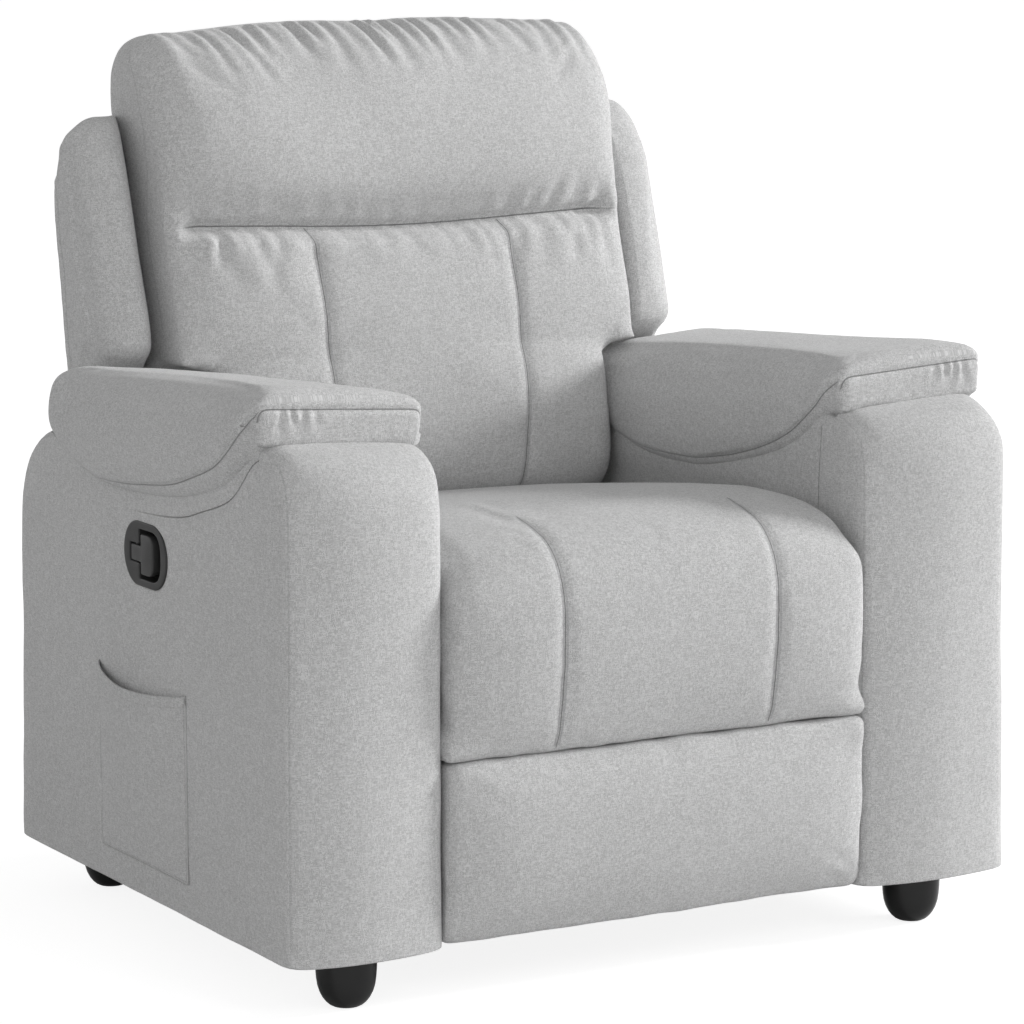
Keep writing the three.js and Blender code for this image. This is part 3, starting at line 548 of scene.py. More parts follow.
def plastic_material(name, tone, roughness, grain):
    """Moulded plastic with a fine sparkle of grain and slightly rubbed edges."""
    n = new_material(name, Specular_IOR_Level=0.5)
    fine, broad = n.noise(n.place(), 1800.0, 2.0), n.noise(n.place(), 22.0, 3.0)
    worn = n.spread(n.add("ShaderNodeNewGeometry", output="Pointiness"), 0.52, 0.6)
    colour = n.blend(broad * 0.5 + worn * 0.6, grey(tone * 0.85), grey(tone * 1.5))
    uneven = n.spread(broad, 0.3, 0.7, roughness * 0.85, roughness * 1.2)
    return n.finish(colour, uneven, fine, grain, 0.6)


def steel_material():
    """Pressed steel under black powder coat, rubbed where parts meet."""
    n = new_material("coated_steel")
    tone, roughness = 0.03, 0.42
    fine, broad = n.noise(n.place(), 900.0, 3.0), n.noise(n.place(), 14.0, 4.0, 0.65)
    edge = n.spread(n.add("ShaderNodeNewGeometry", output="Pointiness"), 0.53, 0.62)
    base = n.blend(broad, grey(tone * 0.7), grey(tone * 1.5))
    colour = n.blend(edge * n.spread(broad, 0.42, 0.6), base, grey(0.22))
    uneven = n.spread(broad, 0.3, 0.7, roughness * 0.8, roughness * 1.25)
    return n.finish(colour, uneven, fine, 0.12, 0.5)


def wire_material():
    """Bare drawn wire with lengthwise drawing marks."""
    n = new_material("spring_wire", Metallic=1.0, Anisotropic=0.4)
    x, y, z = n.split(n.place())
    marks = n.noise(n.combine(x * 20.0, y, z * 20.0), 90.0, 3.0)
    colour = n.blend(n.noise(n.place(), 30.0, 2.0), grey(0.34, 0.03), grey(0.5))
    return n.finish(colour, n.spread(marks, 0.3, 0.7, 0.25, 0.45), marks, 0.1, 0.4)


def wood_material():
    """Plain plywood and softwood: long fibres and wavy rings, unfinished."""
    n = new_material("raw_wood", Specular_IOR_Level=0.3)
    x, y, z = n.split(n.place())
    rings = n.math("SINE", (x + y + n.noise(n.place(), 6.0, 2.0) * 0.03) * 700.0)
    fibre = n.noise(n.combine(x * 40.0, y * 40.0, z), 12.0, 4.0, 0.6)
    colour = n.blend(rings * 0.18 + fibre, (0.34, 0.2, 0.09, 1.0), (0.66, 0.47, 0.27, 1.0))
    return n.finish(colour, 0.72, fibre, 0.3, 0.4)


slot_finish = {
    "cloth": cloth_material(),
    "foot_plastic": plastic_material("foot_plastic", 0.009, 0.16, 0.02),
    "cup_plastic": plastic_material("cup_plastic", 0.036, 0.5, 0.08),
    "lever_plastic": plastic_material("lever_plastic", 0.04, 0.45, 0.06),
    "painted_steel": steel_material(),
    "spring_steel": wire_material(),
    "wood": wood_material(),
}


def dress(piece, slot_name):
    piece.data.shade_smooth()
    piece.data.materials.clear()
    piece.data.materials.append(slot_finish[slot_name])


for part in frame["record"]["subparts"]:
    node = frame["nodes"][part["node"]]
    for material_slot in node.material_slots:
        material_slot.link = "OBJECT"
        material_slot.material = slot_finish[part["material_slot"]]


def finish_soft(piece, body, *nodes, fill, loop):
    """The last steps of every upholstered piece."""
    lay_weave(piece, loop)
    dress(piece, "cloth")
    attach(piece, body)
    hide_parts(*nodes)


# ---- seat

SEAM_X = 135 * MM


def make_seat():
    corners = [(46, 354, 6), (45, 257.5, 8), (12, 257.5, 7), (0, 276, 16), (-10, 326, 60)]
    corners += [(-15, 396, 60), (-8, 452, 30), (24, 490, 40), (90, 506, 60), (150, 504, 60)]
    corners += [(300, 488, 90), (440, 468, 90), (548, 452, 40), (608, 434, 40), (611, 356, 12)]
    loop = side_view(corners)
    y, z = loop.T
    top = ramp(430 * MM, 480 * MM, z)
    low = 1 - ramp(262 * MM, 330 * MM, z)
    hidden = (y > behind(30)) & (z < 380 * MM)
    radius = np.where(z < 275 * MM, 5, np.where(hidden, 8, 18 + 18 * top)) * MM
    crown = np.where(hidden, 0, (3 + 13 * top) * (1 - low)) * MM
    piece = across("seat_cushion_skin", loop, -SEAT_HALF, SEAT_HALF, radius, crown)
    remesh(piece, 7)
    x, y, z = points_of(piece).T
    hidden = ((z < 358 * MM) & (y > behind(36))) | (y > behind(590)) | (z < 266 * MM)
    seam = bell(np.abs(x) - SEAM_X, 6) * (y < behind(120)) * 0.9
    inflate(piece, 3.5, 5, np.maximum(hidden, seam))
    subdivide(piece)
    r = Relief(piece)
    seam = np.abs(r.x) - SEAM_X
    shown = 1 - r.after(60, 112)
    shown *= ramp(-0.1, 0.3, r.no[:, 2] - r.no[:, 1])
    along = r.z - r.y
    r.crease(seam, 3.0, 8, shown)
    r.pucker(seam, along, 0.7, 14, 20, 3, shown)
    out = np.abs(r.x)
    r.pucker(SEAT_HALF - out, along, 1.3, 30, 45, 5)
    r.pucker(r.z - 262 * MM, r.x, 1.2, 26, 40, 8, r.y < behind(30))
    r.soften(1.4, 110, 7)
    lip = 1 - r.over(275, 300)
    lip *= ramp(SEAT_HALF - 20 * MM, SEAT_HALF, out)
    r.slide[:, 0] += np.sign(r.x) * 4 * MM * lip
    ahead = 1 - r.after(40, 110)
    ahead *= r.over(262, 290)
    r.slide[:, 1] += bowed(r.x, SEAT_HALF, 95, 9) * ahead
    r.apply()
    mark_seam(piece, "a", seam, along, 2 * (shown > 0.3))
    finish_soft(piece, "seat", "seat_cushion", fill=0.75, loop=loop)


make_seat()

# ---- footrest


def make_footrest():
    rear = (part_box("footrest_board")[1].y - arm_front) / MM + 1.5
    corners = [(rear, 59, 3), (rear, 257, 3), (5, 257, 7), (-4, 232, 30)]
    loop = side_view(corners + [(-6, 170, 80), (-2, 100, 50), (10, 60, 14)])
    radius = np.where((loop[:, 1] > 250 * MM) | (loop[:, 0] > behind(24)), 3, 12) * MM
    half = SEAT_HALF + 2.5 * MM
    piece = across("footrest_pad_skin", loop, -half, half, radius)
    remesh(piece, 6)
    x, y, z = points_of(piece).T
    inflate(piece, 2.0, 7, (y > behind(20)) | (z > 252 * MM) | (z < 66 * MM))
    r = Relief(piece)
    r.pucker(SEAT_HALF - np.abs(r.x), r.z, 1.0, 26, 40, 21)
    r.pucker(r.z - rest_low.z, r.x, 0.9, 22, 52, 23)
    r.pucker(rest_high.z - r.z, r.x, 1.0, 20, 38, 24)
    r.soften(1.0, 110, 25)
    ahead = 1 - r.after(5, 24)
    ahead *= 1 - r.over(215, 250)
    r.slide[:, 1] += bowed(r.x, SEAT_HALF, 90, 8) * ahead
    r.apply()
    finish_soft(piece, "footrest", "footrest_pad", fill=0.7, loop=loop)


make_footrest()

# ---- arms

SIDES = (("left", 1), ("right", -1))
ARM_SEAM = 82 * MM  # from the middle of an arm to the seam along each side
ARM_BOW = 240 * MM  # radius of the arms' front, seen from above
ARM_BOTTOM = 59 * MM
CUP_Y, CUP_Z = behind(360), 446 * MM
CUP_SIZE = 110 * MM, 72 * MM
CUP_HOLE = 100 * MM, 62 * MM
TURNED_IN = 10 * MM  # how deep the cloth's edge goes round the cup


def arm_outline():
    corners = [(0, 40, 4), (0, 540, 40), (9, 574, 30), (31, 592, 30), (80, 603, 50)]
    corners += [(604, 562, 60), (662, 545, 50), (702, 513, 40), (719, 460, 60)]
    return side_view(corners + [(734, 120, 200), (734, 40, 4)])


def oval_distance(y, z, length, height):
    """Signed distance outside an oval of two half circles that lies along Y around the cup."""
    reach = (length - height) / 2
    dy = np.maximum(np.abs(y - CUP_Y) - reach, 0)
    return np.hypot(dy, z - CUP_Z) - height / 2


def open_for_cup(piece):
    """Cuts the cloth for the lever's cup and turns its edge in."""
    mesh = bmesh.new()
    mesh.from_mesh(piece.data)
    face_x = -arm_outer + 6 * MM
    centres = [(face, face.calc_center_median()) for face in mesh.faces]
    gone = [f for f, c in centres if c.x < face_x and oval_distance(c.y, c.z, *CUP_HOLE) < 0]
    bmesh.ops.delete(mesh, geom=gone, context="FACES")
    rim = [edge for edge in mesh.edges if edge.is_boundary]
    reach = (CUP_HOLE[0] - CUP_HOLE[1]) / 2
    for vert in {v for edge in rim for v in edge.verts}:
        middle = min(max(vert.co.y, CUP_Y - reach), CUP_Y + reach)
        out = Vector((vert.co.y - middle, vert.co.z - CUP_Z)).normalized() * 31.5 * MM
        vert.co.y, vert.co.z = middle + out.x, CUP_Z + out.y
    turned = bmesh.ops.extrude_edge_only(mesh, edges=rim)["geom"]
    for vert in (v for v in turned if isinstance(v, bmesh.types.BMVert)):
        vert.co.x += TURNED_IN
    mesh.to_mesh(piece.data)
    mesh.free()


def trim_below(piece, height):
    """Cuts a piece level at a height and closes it, with a crisp lower edge."""
    mesh = bmesh.new()
    mesh.from_mesh(piece.data)
    geometry = mesh.verts[:] + mesh.edges[:] + mesh.faces[:]
    plane = {"plane_co": (0, 0, height), "plane_no": (0, 0, -1), "clear_outer": True}
    cut = bmesh.ops.bisect_plane(mesh, geom=geometry, **plane)["geom_cut"]
    rim = [edge for edge in cut if isinstance(edge, bmesh.types.BMEdge)]
    turned = bmesh.ops.extrude_edge_only(mesh, edges=rim)["geom"]
    verts = [v for v in turned if isinstance(v, bmesh.types.BMVert)]
    middle = sum((v.co for v in verts), Vector()) / len(verts)
    for vert in verts:
        vert.co += (middle - vert.co).normalized() * 2.5 * MM
        vert.co.z = height - 1.2 * MM
    edges = [edge for edge in turned if isinstance(edge, bmesh.types.BMEdge)]
    bmesh.ops.contextual_create(mesh, geom=edges)
    bmesh.ops.recalc_face_normals(mesh, faces=mesh.faces)
    mesh.to_mesh(piece.data)
    mesh.free()


def smoothed(table):
    """A table of (behind the arms' front, above the floor), in millimetres, as a curve."""
    return curve_through(table, 4.0)


def read_off(table, y):
    return np.interp(y, arm_front + table[:, 0] * MM, table[:, 1] * MM)


ARM_FOLD = smoothed(
    [(60, 583), (88, 573), (148, 535), (222, 512), (272, 500), (349, 493), (470, 491)]
)


def make_arm(name, side):
    loop = arm_outline()
    inner, outer = sorted((side * arm_inner, side * arm_outer))
    piece = across(f"arm_cover_{name}_skin", loop, inner, outer, 17 * MM)
    remesh(piece, 8)
    subdivide(piece)
    r = Relief(piece)
    off = side * r.x - arm_middle
    edge, along = nearest_on(closed(loop), r.co[:, 1:])
    edge = np.abs(edge)
    flank = ramp(0.7, 0.95, np.abs(r.no[:, 0]))
    face = 1 - flank
    above = r.over(62, 110)
    # The foam swells towards the seat, except where the mechanism's side plate lies.
    inward = ramp(0.2, -1.0, off / ARM_HALF)
    plate = r.after(205, 245) * (1 - r.over(455, 500))
    r.slide[:, 0] -= side * 9 * MM * inward * (1 - plate)
    ahead = 1 - r.after(30, 170)
    bow = ARM_BOW - np.sqrt(ARM_BOW**2 - np.clip(off, -ARM_HALF, ARM_HALF) ** 2)
    r.slide[:, 1] += bow * ahead
    r.slide[:, 0] -= side * 5 * MM * inward * ahead
    # The left arm flares outwards towards the floor.
    flare = (11 + 9 * (1 - r.over(100, 480))) * MM * (side > 0)
    flare *= ramp(0.3, 1.0, off / ARM_HALF) * r.over(595, 540)
    r.slide[:, 0] += side * flare
    tilt = r.over(500, 570) * (1 - r.after(60, 150))
    r.slide[:, 2] += 0.06 * off * tilt
    r.move += 3.5 * MM * face * (1 - ahead) * np.cos(np.clip(off / ARM_HALF, -1, 1) * 1.5)
    # The cloth lies flat around the cup.
    cup = ramp(10 * MM, 70 * MM, oval_distance(r.y, r.z, *CUP_SIZE)) if side < 0 else 1
    r.move += 2.5 * MM * flank * above * ramp(0, 110 * MM, edge) * cup
    # It sinks under the pad.
    under = ramp(0.2, 0.6, r.no[:, 2]) * r.after(66, 76)
    r.move -= 6 * MM * under * (r.z > 0.55)
    seed = 31 if side > 0 else 41
    r.pucker(edge, along, 0.8, 34, 60, seed, flank)
    side_seam = np.abs(off) - ARM_SEAM
    r.pucker(side_seam, along, 1.0, 20, 70, seed + 1, face)
    r.soften(1.5, 150, seed + 2, above * cup)
    fold = r.z - read_off(ARM_FOLD, r.y)
    outside = flank * (off > 0) * (r.y > behind(66))
    outside = outside * (1 - r.after(250, 440))
    r.crease(fold, 3.0, 7, outside)
    r.crease(fold + 12 * MM, -2.0, 9, outside)
    upright = r.y - behind(100)
    inside = flank * (off < 0) * (r.z > 300 * MM) * (r.z < 575 * MM)
    r.crease(upright, 1.4, 5, inside)
    r.apply()
    mark_seam(piece, "a", side_seam, along, 0.22 * above * (edge < 25 * MM))
    mark_seam(piece, "b", fold, r.y, outside)
    mark_seam(piece, "c", upright, r.z, inside * 0.8)
    trim_below(piece, ARM_BOTTOM)
    if side < 0:
        open_for_cup(piece)
    finish_soft(piece, "base", f"arm_cover_{name}", fill=0.95, loop=loop)


# ---- arm pads

# Along the pad: the apron's lower edge, and how far over it the seam runs.
OUTER_EDGE = smoothed(
    [(50, 599), (64, 598), (76, 594), (100, 579), (148, 550), (197, 534), (272, 519), (375, 512)]
    + [(430, 512), (481, 515), (564, 532), (607, 556), (640, 572)]
)
OUTER_RISE = smoothed(
    [(50, 44), (64, 43), (76, 36), (100, 27), (148, 23), (221, 19), (300, 14), (380, 10)]
    + [(480, 7), (640, 5)]
)
INNER_EDGE = smoothed(
    [(50, 590), (64, 589), (76, 586), (90, 582), (120, 566), (166, 539), (248, 510), (344, 492)]
    + [(422, 488), (513, 495), (575, 513), (608, 530), (640, 552)]
)
INNER_RISE = smoothed(
    [(50, 42), (64, 40), (76, 35), (90, 27), (111, 18), (151, 14), (250, 13), (400, 12)]
    + [(500, 11), (640, 5)]
)
PAD_FRONT, PAD_REAR = behind(63), behind(618)
PAD_SLOPE = 0.066


def spaced(line, count):
    """A line's points, spaced evenly."""
    return points_along(line, np.linspace(0, lengths(line)[-1], count))


def pad_top(y, front_round=22 * MM):
    """The pad's height along its outer shoulder: it falls to the rear and rounds over in front."""
    slope = 657 * MM - PAD_SLOPE * (y - behind(114))
    return slope - 19 * MM * round_end(1 - (y - PAD_FRONT) / front_round)


def pad_side(y, edge_table, rise_table, top, bulge):
    """One side of the pad's section, from the apron's lower edge up to the shoulder."""
    low = float(read_off(edge_table, y))
    seam = min(low + float(read_off(rise_table, y)), top - 3 * MM)
    rise, over = seam - low, top - seam
    heights = [low, low + 0.3 * rise, low + 0.7 * rise, seam]
    heights += [seam + share * over for share in (0.2, 0.5, 0.78, 0.94)]
    return [(ARM_HALF + b * MM, h) for b, h in zip(bulge, heights)], low


def pad_section(y, inset, side):
    """The pad's outline across the arm at y: over the top, down to both aprons, and back inside."""
    near_front = 1 - ramp(behind(66), behind(100), y)
    squeeze = 1 - 0.3 * ramp(behind(470), behind(540), y)
    slim = 1 - 0.55 * ramp(behind(440), behind(560), y)
    top = float(pad_top(y))
    bulge = np.array([-7, 8, 15, 21, 25, 23, 13, -2]) * squeeze + 3 * (1 - squeeze)
    bulge += (np.array([10, 13, 15, 15, 14, 12, 6, -3]) - bulge) * near_front
    inner, low_inner = pad_side(y, INNER_EDGE, INNER_RISE, top - 12 * MM, bulge)
    bulge = np.array([-6] + [b * slim for b in (6, 11, 17, 21, 18, 8)] + [-6])
    bulge += (np.array([5, 7, 8, 8, 8, 6, 1, -8]) - bulge) * near_front
    outer, low_outer = pad_side(y, OUTER_EDGE, OUTER_RISE, top, bulge)
    arm_top = float(np.interp(y, [behind(60), behind(604), behind(640)], [0.598, 0.558, 0.545]))
    over = [(-x, z) for x, z in inner]
    over += [(-ARM_HALF + 20 * MM, top - 11 * MM), (-ARM_HALF + 46 * MM, top - 7 * MM)]
    over += [(0, top - 3.5 * MM), (ARM_HALF - 46 * MM, top - 0.5 * MM), (ARM_HALF - 22 * MM, top)]
    ring = spaced(curve_through(over + outer[::-1], 4 * MM), 130)
    floor = arm_top - 5 * MM
    beneath = [(5, min(low_outer + 3 * MM, floor - 8 * MM)), (6, floor - 8 * MM), (16, floor)]
    others = [(5, min(low_inner + 3 * MM, floor - 8 * MM))] + beneath[1:]
    beneath = [(ARM_HALF - x * MM, z) for x, z in beneath]
    beneath += [(x * MM - ARM_HALF, z) for x, z in others[::-1]]
    whole = np.vstack([ring, spaced(np.array(beneath), 40)])
    if inset > 0:
        whole = drawn_in(whole, inset)
    if y < PAD_FRONT + 16 * MM:
        lift = 9 * MM * round_end(1 - (y - PAD_FRONT) / (16 * MM))
        beneath_front = 593 * MM + PAD_SLOPE * whole[:, 0] + lift
        whole[:, 1] = np.maximum(whole[:, 1], beneath_front)
    return [(side * (arm_middle + x), y, z) for x, z in whole]


# The seam around the pad's front face, as (across the arm, up) from its middle.
PAD_FACE = closed(rounded([(92, 596, 10), (94, 641, 13), (-100, 629, 15), (-96, 586, 10)], 3))
PAD_FOLDS = [(42, 0.1, 34, 4, 1.6), (55, -0.1, 30, 3.4, 1.9)]
PAD_FOLDS += [(66, 0.1, 34, 4, 1.6), (28, 0, 24, 4, 0.9)]


def pad_seam(y, off):
    """The heights of the apron's lower edge and of its seam, at places across an arm's middle."""
    low = np.where(off > 0, read_off(OUTER_EDGE, y), read_off(INNER_EDGE, y))
    return low, low + np.where(off > 0, read_off(OUTER_RISE, y), read_off(INNER_RISE, y))


def make_pad(name, side):
    front_round, rear_round = 9 * MM, 20 * MM
    ends = np.array([0.0, 0.06, 0.18, 0.36, 0.6, 1.0])
    shrink = 1 - np.sqrt(1 - (1 - ends) ** 2)
    middle = np.linspace(PAD_FRONT + front_round, PAD_REAR - rear_round, 110)[1:-1]
    rear_ends = PAD_REAR - rear_round * ends[::-1]
    places = np.concatenate([PAD_FRONT + front_round * ends, middle, rear_ends])
    insets = np.concatenate([front_round * shrink, 0 * middle, rear_round * shrink[::-1]])
    rings = [pad_section(float(y), inset, side) for y, inset in zip(places, insets)]
    piece = loft(f"arm_pad_{name}_skin", rings)
    remesh(piece, 4)
    x, y, z = points_of(piece).T
    off = side * x - arm_middle
    low, seam = pad_seam(y, off)
    beneath = z < np.interp(y, [behind(60), behind(604)], [0.61, 0.57])
    beneath = (np.abs(off) < ARM_HALF - 1 * MM) & beneath
    sewn = bell(z - seam, 5) * (np.abs(off) > ARM_HALF) * 0.9
    face = (y < PAD_FRONT + 14 * MM) * 0.95
    inflate(piece, 3.0, 2, np.clip(beneath + sewn + face + (z < low + 12 * MM), 0, 1))
    subdivide(piece)
    r = Relief(piece)
    off = side * r.x - arm_middle
    boxing = r.z - pad_seam(r.y, off)[1]
    outside = ramp(0.3, 0.55, np.abs(r.no[:, 0])) * (np.abs(off) > ARM_HALF - 4 * MM)
    outside = outside * ramp(PAD_FRONT + 2 * MM, PAD_FRONT + 14 * MM, r.y)
    faded = np.where(off > 0, 0.85, 0.5)
    outside = outside * (1 - faded * r.after(330, 560))
    r.crease(boxing, 3.0, 4.5, outside)
    seed = 51 if side > 0 else 61
    r.pucker(boxing, r.y, 1.0, 20, 34, seed, outside)
    # The seam around the front face, where it turns over into the top and the sides.
    rim, _ = nearest_on(PAD_FACE, np.stack([off, r.z], axis=1))
    over = (r.y < PAD_FRONT + 13 * MM) & (r.z > 603 * MM)
    far_end = np.where(side * off > 0, 1.0, 0.0)
    rim_shown = over * np.where(r.z > 622 * MM + 0.06 * off, 1.0, far_end)
    r.crease(rim, 2.4, 3.5, rim_shown)
    r.folds(off, 634 * MM + off * 0.06 - r.z, PAD_FOLDS, ramp(0.5, 0.85, -r.no[:, 1]))
    r.soften(1.8, 90, seed + 2, r.no[:, 2] > -0.3)
    r.apply()
    mark_seam(piece, "a", rim, off, rim_shown * 0.8)
    mark_seam(piece, "b", boxing, r.y, outside * 0.7)
    loop = side_view([(66, 600, 4), (66, 648, 14), (617, 624, 20), (617, 566, 4)])
    finish_soft(piece, "base", f"arm_pad_{name}", fill=0.85, loop=loop)


for side_name, side_sign in SIDES:
    make_arm(side_name, side_sign)
    make_pad(side_name, side_sign)

# ---- back cushion

LEAN = math.tan(math.radians(9.5))
HEAD_TOP = 1200  # over the whole head, mm
CHANNEL_Z = 775 * MM
SHOULDER_Z = 632  # where the head widens over the arms, mm
BACK_SEAM = 129 * MM
HEAD_ROUND = 40  # the radius of the head's sides near its top, mm


def leaning(place):
    """How far back a face that leans with the back is at a height, from its place 985 mm up."""
    return lambda z: place - (985 - z) * LEAN


frame_front = leaning(755.4)  # the wooden frame's front face
panel_front = leaning(783)
panel_rear = leaning(784)
wing_rear = leaning(783.3)

BACK_FRONT = [(566, 430, 14), (533, 464, 30), (521, 540, 60), (524, 606, 60), (545, 680, 60)]
BACK_FRONT += [(571, 745, 50), (581, 785, 50), (580, 840, 50), (588, 890, 50), (612, 950, 50)]
BACK_FRONT += [(655, 995, 40), (710, 1011, 30), (762, 1000, 24), (785, 968, 12)]


def back_outline(low, high):
    front = [c for c in BACK_FRONT if low < c[1] < high]
    if high == HEAD_TOP:
        rear = [(784, 960, 4), (panel_front(905), 905, 10)]
        rear += [(panel_front(870), 870, 6), (frame_front(850), 850, 4)]
    else:
        rear = [(566, high, 10), (frame_front(high), high, 4)]
    if low == SHOULDER_Z:
        rear += [(frame_front(590), 590, 6), (632, 590, 20), (618, 618, 8), (541, 620, 5)]
    else:
        rear += [(frame_front(424), 424, 4)]
    return side_view(rear + front)


def head_folds():
    """Gathers along the top edge of the head, in pairs and singles."""
    draw = np.random.default_rng(17)
    places = []
    x = -262.0
    while x < 268:
        lean = draw.uniform(-0.1, 0.4)
        length, width, depth = draw.uniform(45, 95), draw.uniform(4.5, 8), draw.uniform(1.8, 3.6)
        places.append((x, lean, length, width, depth))
        if draw.random() < 0.6:
            second = x + draw.uniform(13, 19)
            places.append((second, lean + 0.1, length * 0.7, width * 0.8, depth * 0.8))
        x += draw.uniform(30, 58)
    return places


def channel_folds(seed, lowest, highest):
    """Short folds that run out from the channel, denser towards its ends."""
    draw = np.random.default_rng(seed)
    places = []
    x = -286.0
    while x < 286:
        near_end = abs(x) / 286
        length = draw.uniform(lowest, highest) * (0.7 + 0.5 * near_end)
        depth = draw.uniform(0.7, 1.6) + 1.4 * near_end**3
        places.append((x, draw.uniform(-0.35, 0.35), length, draw.uniform(5, 10), depth))
        x += draw.uniform(20, 46) * (1.15 - 0.45 * near_end)
    return places


def channel_dip(height):
    """How deep the channel is at a height over it: steep below, a long roll above."""
    below = bell(height, 9)
    above = 0.45 * bell(height, 7) + 0.55 * bell(height, 34)
    return np.where(height < 0, below, above)


def make_back():
    high_loop = back_outline(SHOULDER_Z, HEAD_TOP)
    y, z = high_loop.T
    rear = y > behind(frame_front(z / MM)) - 12 * MM
    under = (z < 0.628) & (y < behind(660))
    front_radius = 26 + (HEAD_ROUND - 26) * ramp(0.78, 0.87, z)
    radius = np.where(rear, 12 + 26 * ramp(0.9, 0.975, z), front_radius)
    radius = np.where(under, 3, radius) * MM
    crown = np.where(rear, 0, 3 * MM)
    high = across("head", high_loop, -HEAD_HALF, HEAD_HALF, radius, crown, power=2)
    low_loop = back_outline(400, 665)
    narrow = SEAT_HALF - 1 * MM
    y, z = low_loop.T
    rear = y > behind(frame_front(z / MM)) - 12 * MM
    radius = np.where(rear, 6, 6 + 26 * ramp(0.46, 0.6, z)) * MM
    low = across("lumbar", low_loop, -narrow, narrow, radius, np.where(rear, 0, 6) * MM)
    piece = merged("back_cushion_skin", [high, low])
    remesh(piece, 8)
    x, y, z = points_of(piece).T
    channel = bell(z - CHANNEL_Z, 12) * (y < behind(640)) * (np.abs(x) < 0.29)
    rear = (y > behind(frame_front(z / MM)) - 14 * MM) & (z < 0.97)
    seams = bell(np.abs(x) - BACK_SEAM, 7) * (z < CHANNEL_Z) * 0.8
    flank = (np.abs(x) > HEAD_HALF - 12 * MM) * 0.95
    inflate(piece, 4.0, 14, np.clip(rear + channel + flank + seams * (y < behind(600)), 0, 1))
    subdivide(piece)
    r = Relief(piece)
    facing = ramp(-0.1, 0.3, -r.no[:, 1])
    below = facing * (1 - ramp(CHANNEL_Z - 12 * MM, CHANNEL_Z, r.z))
    seam = np.abs(r.x) - BACK_SEAM
    r.crease(seam, 3.0, 8, below)
    r.pucker(seam, r.z, 0.8, 14, 22, 71, below)
    channel = r.z - CHANNEL_Z + 4 * MM * np.cos(r.x / 0.09)
    reach = 1 - ramp(0.262, 0.3, np.abs(r.x))
    r.slide[:, 1] += 31 * MM * channel_dip(channel) * facing * reach
    tuck = bell(r.x + 268 * MM, 26) * facing
    r.pucker(channel + 10 * MM, r.x + 0.3 * r.z, 3.0, 16, 13, 77, tuck)
    ahead = 1 - r.after(640, 730)
    ahead *= 0.25 + 0.75 * r.over(470, 580)
    wide = SEAT_HALF + (HEAD_HALF - SEAT_HALF) * r.over(600, 740)
    r.slide[:, 1] += bowed(r.x, wide, 150, 15) * ahead
    lifted = r.over(880, 980)
    r.slide[:, 2] += (1.5 * MM - bowed(r.x - 70 * MM, HEAD_HALF, 190, 8)) * lifted
    r.slide[:, 0] += 6 * MM * r.over(840, 930) * ramp(0.15, 0.28, r.x)
    r.folds(r.x, channel, channel_folds(73, 30, 62), facing)
    r.folds(r.x, -channel, channel_folds(75, 36, 90), facing)
    from_top = 1.012 - r.z - 0.35 * np.maximum(0, r.y - behind(690))
    r.folds(r.x, from_top, head_folds(), r.z > 0.85)
    r.pucker(np.maximum(0, 1.0 - r.z), r.x, 1.6, 70, 60, 79, r.z > 0.82)
    r.soften(2.6, 120, 81)
    r.apply()
    mark_seam(piece, "a", seam, r.z, 2.0 * (below > 0.3))
    mark_seam(piece, "b", channel, r.x, facing * reach)
    places, heights, _ = np.array(BACK_FRONT[1:12]).T
    front_y = np.interp(r.z, heights * MM, behind(places))
    boxed = ramp(0.8, 0.95, np.abs(r.no[:, 0])) * (r.z > 0.66)
    mark_seam(piece, "c", r.y - front_y - 66 * MM, r.z, boxed * 0.4)
    finish_soft(piece, "back", "back_cushion", fill=0.8, loop=back_outline(400, HEAD_TOP))


make_back()

# ---- wings

WING_HALF = 385 * MM


def make_wing(name, side):
    """A bolster beside the head: a rounded nose, from which it slopes back to the head's side."""
    back = 9 if side < 0 else -5
    corners = [(wing_rear(584), 584, 8), (wing_rear(586) - 60, 586, 30), (606, 628, 8)]
    corners += [(588, 642, 14), (612 + back, 721, 80), (634 + back, 790, 60)]
    corners += [(654 + back, 850, 50), (684, 895, 50), (712, 909, 24), (728, 895, 40)]
    loop = side_view(corners + [(wing_rear(812), 812, 90)])
    rear = loop[:, 0] > behind(wing_rear(loop[:, 1] / MM)) - 16 * MM
    inner = HEAD_HALF - 6 * MM
    ends = sorted((side * inner, side * WING_HALF))
    piece = across(f"wing_{name}_skin", loop, *ends, np.where(rear, 5, 14) * MM)
    remesh(piece, 5)
    x, y, z = points_of(piece).T
    pinned = (y > behind(wing_rear(z / MM)) - 16 * MM) | (np.abs(x) < HEAD_HALF + 3 * MM)
    inflate(piece, 2.0, 4, pinned)
    subdivide(piece)
    r = Relief(piece)
    out = np.abs(r.x)
    last = behind(wing_rear(r.z / MM))
    share = np.clip((last - r.y) / (118 * MM), 0, 1)
    nose = 344 * MM if side < 0 else 326 * MM
    slope = 105 * MM * np.clip((nose - out) / (nose - inner), 0, 1) ** 2
    turn = 30 * MM * round_end((out - nose) / (WING_HALF - nose)) ** 1.2
    r.slide[:, 1] += (slope + turn) * share
    shoulder = ramp(WING_HALF - 46 * MM, WING_HALF, out) ** 2
    r.slide[:, 2] -= 17 * MM * shoulder * r.over(800, 900)
    seam = r.y - (last - 34 * MM)
    outside = side * r.x > WING_HALF - 20 * MM
    r.crease(seam, 1.0, 4, outside)
    seed = 91 if side > 0 else 95
    r.pucker(seam, r.z, 1.0, 20, 40, seed, outside)
    r.soften(1.6, 80, seed + 1)
    r.apply()
    mark_seam(piece, "a", seam, r.z, outside * 0.45)
    finish_soft(piece, "back", f"wing_{name}", fill=0.8, loop=loop)


for side_name, side_sign in SIDES:
    make_wing(side_name, side_sign)

# ---- outer back


